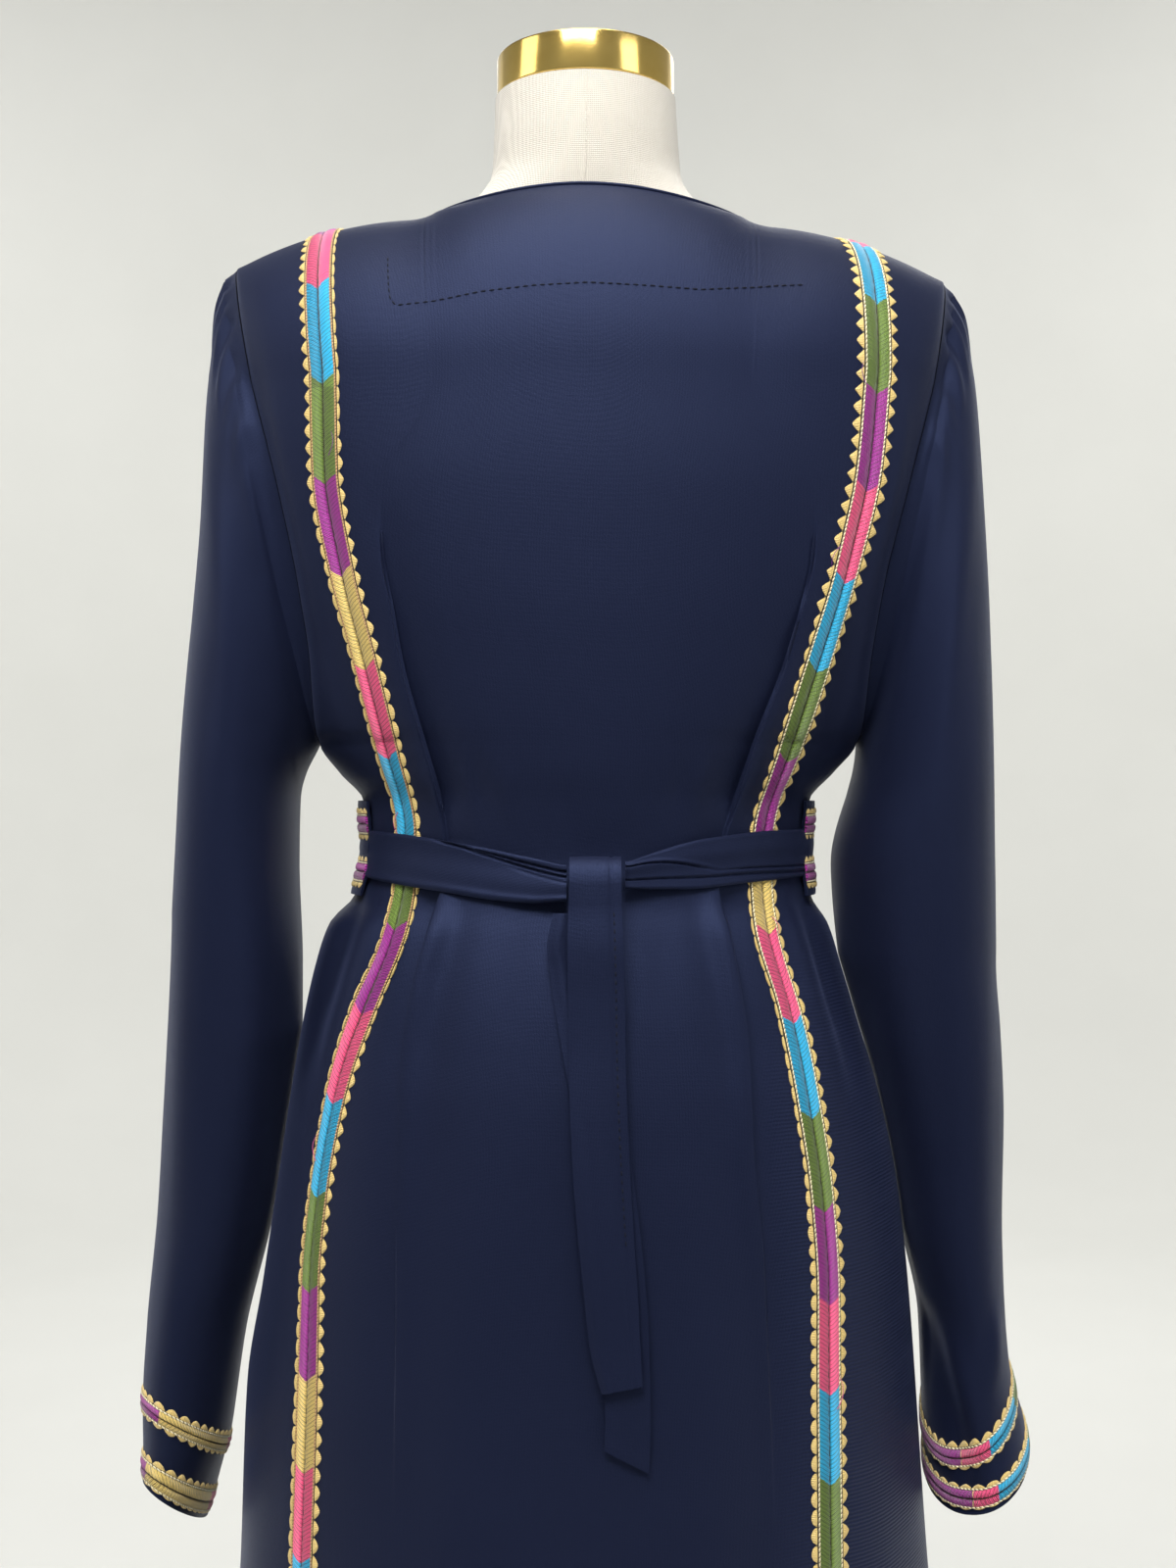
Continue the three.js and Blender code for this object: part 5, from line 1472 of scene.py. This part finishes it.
def tie(side):
    T = TIES[side]
    n, m = 141, 57
    first, last = (-122.0, -11.5) if side < 0 else (121.0, 17.0)
    w = np.linspace(0, 1, n)
    x0 = lerp(first, last, w)                       # from the side towards the knot
    q = np.linspace(-1, 1, m)
    X, Q = np.meshgrid(x0, q, indexing="ij")
    W = np.repeat(w[:, None], m, 1)
    mid, half, lift = T["z"](X), T["half"](X), T["lift"](X)
    if side < 0:
        z = mid + Q * half * (1.16 - 0.08 * W) + 0.5 * np.sin(W * 5.0)
        # thin upper layers fold over from the top edge and run into the knot; the broad lower part stays smooth
        c1 = lerp(1.0, 0.64, (W - 0.38) / 0.62)
        c2 = lerp(0.84, 0.30, (W - 0.52) / 0.48)
        c3 = lerp(0.5, -0.05, (W - 0.7) / 0.3)
        h = lift + 1.5 + 1.0 * np.exp(-((Q + 0.2) / 0.5) ** 2) * (0.5 + 0.6 * W)
        h = h + 0.9 * smooth((Q - c1) / 0.07 + 0.5) * smooth((W - 0.36) / 0.1)
        h = h - 1.5 * np.exp(-((Q - c1 + 0.03) / 0.055) ** 2) * smooth((W - 0.36) / 0.1)
        h = h + 0.7 * np.exp(-((Q - c2 - 0.09) / 0.09) ** 2) * smooth((W - 0.5) / 0.12)
        h = h - 1.5 * np.exp(-((Q - c2) / 0.055) ** 2) * smooth((W - 0.5) / 0.12)
        h = h - 0.35 * np.exp(-((Q - c3) / 0.08) ** 2) * smooth((W - 0.7) / 0.12)
        h = h + 0.6 * np.exp(-((Q + 0.84) / 0.12) ** 2) * (0.4 + 0.6 * W)
    else:
        z = mid + Q * half * (1.12 - 0.06 * W)
        # a long crease runs out from the knot, and the lower edge shows two layers
        c1 = lerp(-0.62, 0.55, smooth((W - 0.35) / 0.65))
        c2 = lerp(-0.80, -0.42, W)
        h = lift + 1.7 + 1.1 * np.exp(-((Q - 0.35) / 0.42) ** 2) * (0.6 + 0.5 * W)
        h = h - 1.3 * np.exp(-((Q - c1) / 0.05) ** 2) * smooth((W - 0.5) / 0.2)
        h = h + 0.6 * np.exp(-((Q - c1 - 0.10) / 0.10) ** 2) * smooth((W - 0.5) / 0.2)
        h = h - 1.4 * np.exp(-((Q - c2) / 0.045) ** 2) * smooth((W - 0.02) / 0.1)
        h = h - 1.1 * np.exp(-((Q - c2 - 0.22) / 0.04) ** 2) * smooth((0.62 - W) / 0.3)
        h = h - 0.7 * smooth((c2 - Q) / 0.05)
    h = h - 0.7 * np.exp(-((np.abs(Q) - 1) / 0.05) ** 2)
    P = back_at(X, z) + h[..., None] * back_normal(X, z)
    N = back_normal(X, z)
    mesh = Mesh()
    shell(mesh, P, N, 1.3, lay=cloth_lay(P))
    name = "belt_tie_" + ("left" if side < 0 else "right")
    o = mesh.build(name + "_cloth", [navy_belt])
    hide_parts(name)
    return o


ties = [tie(-1), tie(1)]


def knot():
    """The wrapped knot: a rounded form with the turns of the strip round it."""
    n, m = 64, 33
    a = np.arange(n) * 2 * PI / n
    b = np.linspace(-PI / 2 + 0.02, PI / 2 - 0.02, m)
    B, A = np.meshgrid(b, a, indexing="ij")
    cy = back_at(KNOT["x"], KNOT["z"])[1] - KNOT["lift"]
    turn = 0.7 * np.sin(3 * A + 2.2 * B) * np.cos(B) + 0.5 * np.sin(7 * A - 3 * B) * np.cos(B) ** 2
    cb, sb = np.cos(B), np.sin(B)
    x = KNOT["x"] + (KNOT["rx"] - 0.6 + 0.5 * turn) * np.sign(np.cos(A)) * np.abs(np.cos(A)) ** 0.85 * cb ** 0.8
    y = cy + (KNOT["ry"] - 0.7 + 0.5 * turn) * np.sin(A) * cb ** 0.8
    z = KNOT["z"] + (KNOT["rz"] - 0.6) * sb
    P = np.stack([x, y, z], -1)
    mesh = Mesh()
    caps = [np.arange(n)[::-1][None], ((m - 1) * n + np.arange(n))[None]]
    f = [quads(m, n, True)] + caps
    nn = np.cross(P[m // 2, 1] - P[m // 2, 0], P[m // 2 + 1, 0] - P[m // 2, 0])
    if nn @ (P[m // 2, 0] - np.array([KNOT["x"], cy, KNOT["z"]])) < 0:
        f = [g[:, ::-1] for g in f]
    mesh.add(P, f, 0, cloth_lay(P))
    o = mesh.build("belt_knot_cloth", [navy_belt])
    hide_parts("belt_knot")
    return o


knot_piece = knot()


def tail_spine(T, z, over):
    X = T["x"](z)
    base = back_at(X, z)
    return X, base[..., 1] - T["lift"](z)


def tail(over):
    T = TAIL_OVER if over else TAIL_UNDER
    if over:
        z = np.linspace(1020, 788, 131)
    else:
        z = np.linspace(1015, 752, 131)
    X, Y = tail_spine(T, z, over)
    half = T["half"](z)
    rows_x, rows_y, rows_z, rows_h = list(X), list(Y), list(z), list(half)
    if over:
        ky = back_at(KNOT["x"], KNOT["z"])[1] - KNOT["lift"]
        ry, rz = KNOT["ry"] + 1.2, KNOT["rz"] + 1.2
        ang = np.radians(np.linspace(38, 176, 24))
        rows_x = list(np.full(24, 2.6)) + rows_x
        rows_y = list(ky + ry * np.cos(ang)) + rows_y
        rows_z = list(KNOT["z"] + rz * np.sin(ang)) + rows_z
        rows_h = list(12.9 + 0 * ang) + rows_h
    X, Y, Z, H = (np.array(r) for r in (rows_x, rows_y, rows_z, rows_h))
    for _ in range(14):
        Y[1:-1] = (Y[:-2] + 2 * Y[1:-1] + Y[2:]) / 4
    n = len(X)
    if n % 2 == 0:
        X, Y, Z, H = X[1:], Y[1:], Z[1:], H[1:]
        n -= 1
    line = np.stack([X, Y, Z], -1)
    T3 = np.gradient(line, axis=0)
    T3[:, 0] = 0
    T3 = unit(T3)
    N = np.stack([0 * X, T3[:, 2], -T3[:, 1]], -1)      # square to the strip, in its own plane of fall
    N = np.where(N[:, 1:2] > 0, -N, N) if not over else N
    if over:
        # starts facing up behind the knot, and turns to face the back
        N = unit(np.stack([0 * X, np.where(np.arange(n) < 24, np.cos(np.radians(np.linspace(38, 176, 24)))[np.minimum(np.arange(n), 23)], -1.0),
                           np.where(np.arange(n) < 24, np.sin(np.radians(np.linspace(38, 176, 24)))[np.minimum(np.arange(n), 23)], 0.0)], -1))
        for _ in range(24):
            N[1:-1] = unit(N[:-2] + 2 * N[1:-1] + N[2:])
    m = 21
    q = np.linspace(-1, 1, m)
    down = np.linspace(0, 1, n)
    Q, D = np.meshgrid(q, down)
    fall = (1050 - Z)[:, None] + 0 * Q
    if over:
        bow = 0.8 * (1 - Q ** 2) * np.clip(fall / 40, 0, 1) + 0.7 * np.sin(fall / 38.0) * np.clip(fall / 120, 0, 1) * Q
        roll = 0.5 * np.exp(-((Q - 0.62) / 0.05) ** 2) * -1.0        # stitched groove beside the right edge
        side_fold = 0.8 * np.exp(-((Q + 0.7) / 0.18) ** 2) * smooth((fall - 120) / 60)
        h = 1.8 + bow + roll + side_fold
        cut = 9.0 * smooth((fall - 236) / 24) * (Q < 2)
        slant = np.where(fall > 200, (Q - 0.2) * 2.0 * smooth((fall - 225) / 35), 0)
    else:
        bow = 1.2 * np.exp(-((Q + 0.55) / 0.3) ** 2) * np.exp(-((fall - 60) / 40) ** 2) + 0.6 * np.sin(fall / 30.0) * Q
        h = 1.8 + bow - 0.5 * np.exp(-((Q - 0.15) / 0.12) ** 2) * np.exp(-((fall - 70) / 60) ** 2)
        slant = -5.5 * (Q + 0.0) * smooth((fall - 255) / 40)
    P = np.stack([X[:, None] + Q * H[:, None], Y[:, None] + 0 * Q, Z[:, None] + slant], -1) + h[..., None] * N[:, None]
    NN = np.repeat(N[:, None], m, 1)
    mesh = Mesh()
    shell(mesh, P, NN, 1.2, lay=cloth_lay(P))
    name = "belt_tail_" + ("over" if over else "under")
    o = mesh.build(name + "_cloth", [navy_belt])
    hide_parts(name)
    return o, P, NN


tail_over, TO_P, TO_N = tail(True)
tail_under, TU_P, TU_N = tail(False)


# ---------------------------------------------------------------- stitches and edges
def dashes(name, line, normals, material, long=2.6, gap=1.5, thick=0.34, lift=0.12):
    """Machine stitches: short flat threads one after another along a line."""
    arc = np.concatenate([[0], np.cumsum(np.linalg.norm(np.diff(line, axis=0), axis=1))])
    count = int(arc[-1] / (long + gap))
    mesh = Mesh()
    for i in range(count):
        s = np.linspace(i * (long + gap), i * (long + gap) + long, 4)
        p = np.stack([np.interp(s, arc, line[:, k]) for k in range(3)], -1)
        nn = unit(np.stack([np.interp(s, arc, normals[:, k]) for k in range(3)], -1))
        p = p + nn * (lift * np.array([0.3, 1.2, 1.2, 0.3]))[:, None]
        tube(mesh, p, np.array([0.5, 1, 1, 0.5]) * thick, 5, 0, None, nn, 0.7)
    return mesh.build(name, [material], angle=60)


stitch_tonal = plain_thread("stitch_tonal", (0.0045, 0.0058, 0.0135), 0.7, 0.3)
# painted shade: the near-black seam tubes stand for the shadow in the seams' grooves
seam_painted_shade = plain_thread("seam_painted_shade", (0.0016, 0.002, 0.005), 0.9, 0.1)


def on_back_line(points, n=240):
    """A line on the back by x and z, put on the surface by search along v."""
    pts = np.array(points, float)
    arc = np.concatenate([[0], np.cumsum(np.linalg.norm(np.diff(pts, axis=0), axis=1))])
    s = np.linspace(0, arc[-1], n)
    x, z = np.interp(s, arc, pts[:, 0]), np.interp(s, arc, pts[:, 1])
    u, v = x / 185.0, np.minimum(z, BLADE_Z) + np.clip(z - BLADE_Z, 0, None)
    for _ in range(30):
        P = panel_point("back", u, v)
        e = 1e-3
        Pu = (panel_point("back", u + e, v) - P) / e
        Pv = (panel_point("back", u, np.minimum(v + 0.4, BLADE_Z + TURN)) - P) / 0.4
        dx, dz = x - P[:, 0], z - P[:, 2]
        det = Pu[:, 0] * Pv[:, 2] - Pu[:, 2] * Pv[:, 0]
        det = np.where(np.abs(det) < 1e-6, 1e-6, det)
        u = np.clip(u + 0.7 * np.clip((dx * Pv[:, 2] - dz * Pv[:, 0]) / det, -0.1, 0.1), -0.99, 0.99)
        v = np.clip(v + 0.7 * np.clip((Pu[:, 0] * dz - Pu[:, 2] * dx) / det, -15, 15), HEM_Z, BLADE_Z + TURN)
    return panel_point("back", u, v), panel_normal("back", u, v)


# the neck facing's stitch line on the back
FACING = [(-104.5, 1352), (-103.0, 1334), (-101.8, 1327), (-98.8, 1323.5), (-79.2, 1325), (-55.3, 1329.3), (-28.6, 1332.2),
          (-1, 1333.7), (26.5, 1332.3), (56.3, 1330.4), (83.0, 1332.8), (96.8, 1334.7), (114, 1336.2)]
line, nn = on_back_line(FACING, 400)
facing_stitch = dashes("neck_facing_stitches", line, nn, stitch_tonal, 2.7, 1.6, 0.42, 0.2)

# the dashed line down the hanging end
col = 17
tail_stitch = dashes("belt_tail_stitches", TO_P[26:120, col], TO_N[26:120, col], stitch_tonal, 2.3, 1.9, 0.38, 0.2)


def neck_edge():
    """The rolled edge round the neck, on both panels."""
    mesh = Mesh()
    u = np.linspace(-NECK_X / SHOULDER_X, NECK_X / SHOULDER_X, 120)
    b = top_point("back", u)
    f = top_point("front", u[::-1])
    loop = np.concatenate([b, f[1:-1]])
    up = np.tile([0, 0, 1.0], (len(loop), 1))
    loop = loop + np.array([0, 0, 0.1])
    tube(mesh, loop, 1.15, 8, 0, np.stack([0 * loop[:, 0], np.arange(len(loop)) * 2.0, 0 * loop[:, 0]], -1), up, 1.0, closed=True)
    return mesh.build("neck_rolled_edge", [navy], angle=0)


neck_piece = neck_edge()


def armhole_seams(side):
    """The seam's narrow dark line where the sleeve joins: a near-black tube, painted shade that stands for the shadow
    in the seam's groove.
    """
    mesh = Mesh()
    a = np.linspace(0, 2 * PI, 181)[:-1]
    loop = sleeve_point(side, np.full(a.shape, -1.0), a, False)
    loop[:, 0] -= side * 0.4
    c = loop.mean(0)
    d = loop - c
    d[:, 0] = 0
    loop = loop - unit(d) * 0.15
    tube(mesh, loop, 0.55, 6, 0, None, unit(d), 1.0, closed=True)
    return mesh.build("armhole_seam_" + ("left" if side < 0 else "right"), [seam_painted_shade], angle=0)


def panel_seam(name, over):
    """The dark groove of a seam between the two panels, as a near-black tube of painted shade: down a side from the
    armpit to the hem, or over a shoulder.
    """
    mesh = Mesh()
    for side in (-1, 1):
        if over:
            u = side * np.linspace(NECK_X / SHOULDER_X + 0.02, 0.985, 60)
            b, f = top_point("back", u), top_point("front", u)
        else:
            v = np.linspace(HEM_Z + 1.5, ARMPIT_Z - 4, 160)
            b, f = panel_point("back", np.full(v.shape, side * 1.0), v), panel_point("front", np.full(v.shape, side * 1.0), v)
        line = 0.5 * (b + f)
        out = np.tile([0, 0, 1.0], (len(line), 1)) if over else np.tile([side * 1.0, 0, 0], (len(line), 1))
        tube(mesh, line - out * 0.55, 0.62, 6, 0, None, out, 1.0)
    return mesh.build(name, [seam_painted_shade], angle=0)


seams = [armhole_seams(-1), armhole_seams(1), panel_seam("side_seams", False), panel_seam("shoulder_seams", True)]


# ---------------------------------------------------------------- dress form and stand
def form():
    n = 112
    z = np.concatenate([np.linspace(826, 832, 4), np.linspace(836, 1340, 110), np.linspace(1344, 1410, 40), np.linspace(1414, 1456, 12)])
    a = np.arange(n) * 2 * PI / n
    Z, A = np.meshgrid(z, a, indexing="ij")
    c, u = np.cos(A), np.sin(A)
    full = np.sqrt(np.clip(1 - np.abs(u) ** FORM["p"](Z), 0, 1))
    x = FORM["x"](Z) + u * FORM["half"](Z)
    y = np.where(c > 0, FORM["back"](Z), FORM["front"](Z)) * full
    P = np.stack([x, y, Z], -1)
    mesh = Mesh()
    f = [quads(len(z), n, True), np.arange(n)[::-1][None], ((len(z) - 1) * n + np.arange(n))[None]]
    mesh.add(P, f, 0)
    # the seam of the cover, up the middle of the back and over the neck
    zz = np.linspace(1384, 1455, 40)
    line = np.stack([FORM["x"](zz) + 0.0, FORM["back"](zz), zz], -1)
    tube(mesh, line, 0.4, 5, 0)
    o = mesh.build("form_linen", [linen_mat], angle=40)
    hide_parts("form_body")
    return o


form_piece = form()


def turned(name, node, profile, centre, sides=96):
    """A turned metal piece, with small rounds at its edges."""
    prof = np.array(profile, float)
    a = np.arange(sides) * 2 * PI / sides
    inner = prof[1:-1]
    P = np.stack([centre[0] + inner[:, 0][:, None] * np.cos(a), centre[1] + inner[:, 0][:, None] * np.sin(a), inner[:, 1][:, None] + 0 * a], -1)
    n = len(inner)
    poles = np.array([[centre[0], centre[1], prof[0, 1]], [centre[0], centre[1], prof[-1, 1]]])
    i = np.arange(sides)
    j = (i + 1) % sides
    tri = np.concatenate([np.stack([np.full(sides, n * sides), j, i], -1),
                          np.stack([np.full(sides, n * sides + 1), (n - 1) * sides + i, (n - 1) * sides + j], -1)])
    mesh = Mesh()
    mesh.add(np.concatenate([P.reshape(-1, 3), poles]), [quads(n, sides, True), tri], 0)
    o = mesh.build(name, [gold_metal], angle=30)
    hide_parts(node)
    return o


def rounded(points, r=0.9, n=4):
    """A profile with each inner corner rounded."""
    pts = [np.array(p, float) for p in points]
    out = [pts[0]]
    for a, b, c in zip(pts, pts[1:], pts[2:]):
        d0, d1 = np.linalg.norm(b - a), np.linalg.norm(c - b)
        rr = min(r, d0 * 0.45, d1 * 0.45)
        p0, p1 = b + (a - b) / d0 * rr, b + (c - b) / d1 * rr
        for t in np.linspace(0, 1, n):
            out.append((1 - t) ** 2 * p0 + 2 * t * (1 - t) * b + t * t * p1)
    out.append(pts[-1])
    return out


cap = turned("neck_cap_gold", "neck_cap", rounded([(0, 1456.3), (48.5, 1456.3), (48.5, 1477.8), (0, 1477.8)], 1.3, 5), (-2.5, 0), 128)
disc = turned("stand_disc_gold", "stand_disc", rounded([(0, 816), (46, 816), (46, 825.5), (0, 825.5)], 1.2), (0, 0))
pole = turned("stand_pole_gold", "stand_pole", rounded([(0, 12.3), (24.5, 12.3), (24.5, 18), (20, 22), (14.5, 38), (12.5, 40), (12.5, 815.7), (0, 815.7)], 1.0), (0, 0), 64)
plate = turned("stand_plate_gold", "stand_base", rounded([(0, 0), (175, 0), (175, 8), (171, 12), (0, 12)], 1.2), (0, 0), 160)


# ---------------------------------------------------------------- what each sheet was cut to
# Widths and lengths along the cloth, and areas, of the CAD panels and sleeves; the belt's pieces are estimates.
CLOTHS = [
    (back, (0.71, 1.39), "draped", ["form_linen"], 0.670, [facing_stitch, bl, br, neck_piece, seams[2], seams[3]]),
    (front, (0.70, 1.40), "draped", ["form_linen"], 0.666, [fl, fr]),
    (sleeve_left, (0.29, 0.70), "hung", ["back_cloth"], 0.1526, [cuffs[0], cuffs[1], seams[0]]),
    (sleeve_right, (0.31, 0.67), "hung", ["back_cloth"], 0.1505, [cuffs[2], cuffs[3], seams[1]]),
    (belt, (0.40, 0.055), "stretched", ["front_cloth"], None, belt_bands),
    (ties[0], (0.125, 0.029), "stretched", ["back_cloth"], None, []),
    (ties[1], (0.115, 0.027), "stretched", ["back_cloth"], None, []),
    (tail_over, (0.027, 0.262), "hung", ["belt_knot_cloth"], None, [tail_stitch]),
    (tail_under, (0.025, 0.268), "hung", ["back_cloth"], None, []),
]


# ---------------------------------------------------------------- stage
def stage():
    prof = [(0.0, 0.0), (1.0, 0.0), (2.2, 0.0), (3.2, 0.0)]
    for t in np.linspace(0, PI / 2, 14):
        prof.append((3.6 + 1.4 * math.sin(t), 1.4 * (1 - math.cos(t))))
    prof += [(5.0, 2.4), (5.0, 4.2)]
    n = 72
    verts = [(0, 0, -0.0006)]
    faces = []
    for r, z in prof[1:]:
        for i in range(n):
            a = i * 2 * PI / n
            verts.append((r * math.cos(a), r * math.sin(a), z - 0.0006))
    for i in range(n):
        faces.append((0, 1 + i, 1 + (i + 1) % n))
    for k in range(len(prof) - 2):
        for i in range(n):
            a, b = 1 + k * n + i, 1 + k * n + (i + 1) % n
            faces.append((a, a + n, b + n, b))
    me = bpy.data.meshes.new("studio_floor")
    me.from_pydata(verts, [], faces)
    me.update()
    for p in me.polygons:
        p.use_smooth = True
    n_ = Nodes("studio_paper")
    grain = n_.noise(n_.place(), 3.0, 2.0)
    n_.set(color=n_.mix(grain, (0.68, 0.68, 0.65), (0.72, 0.72, 0.69)), rough=0.9)
    me.materials.append(n_.mat)
    o = bpy.data.objects.new("studio_floor", me)
    bpy.context.scene.collection.objects.link(o)


stage()

for o, flat, held, rests, area, extra in CLOTHS:
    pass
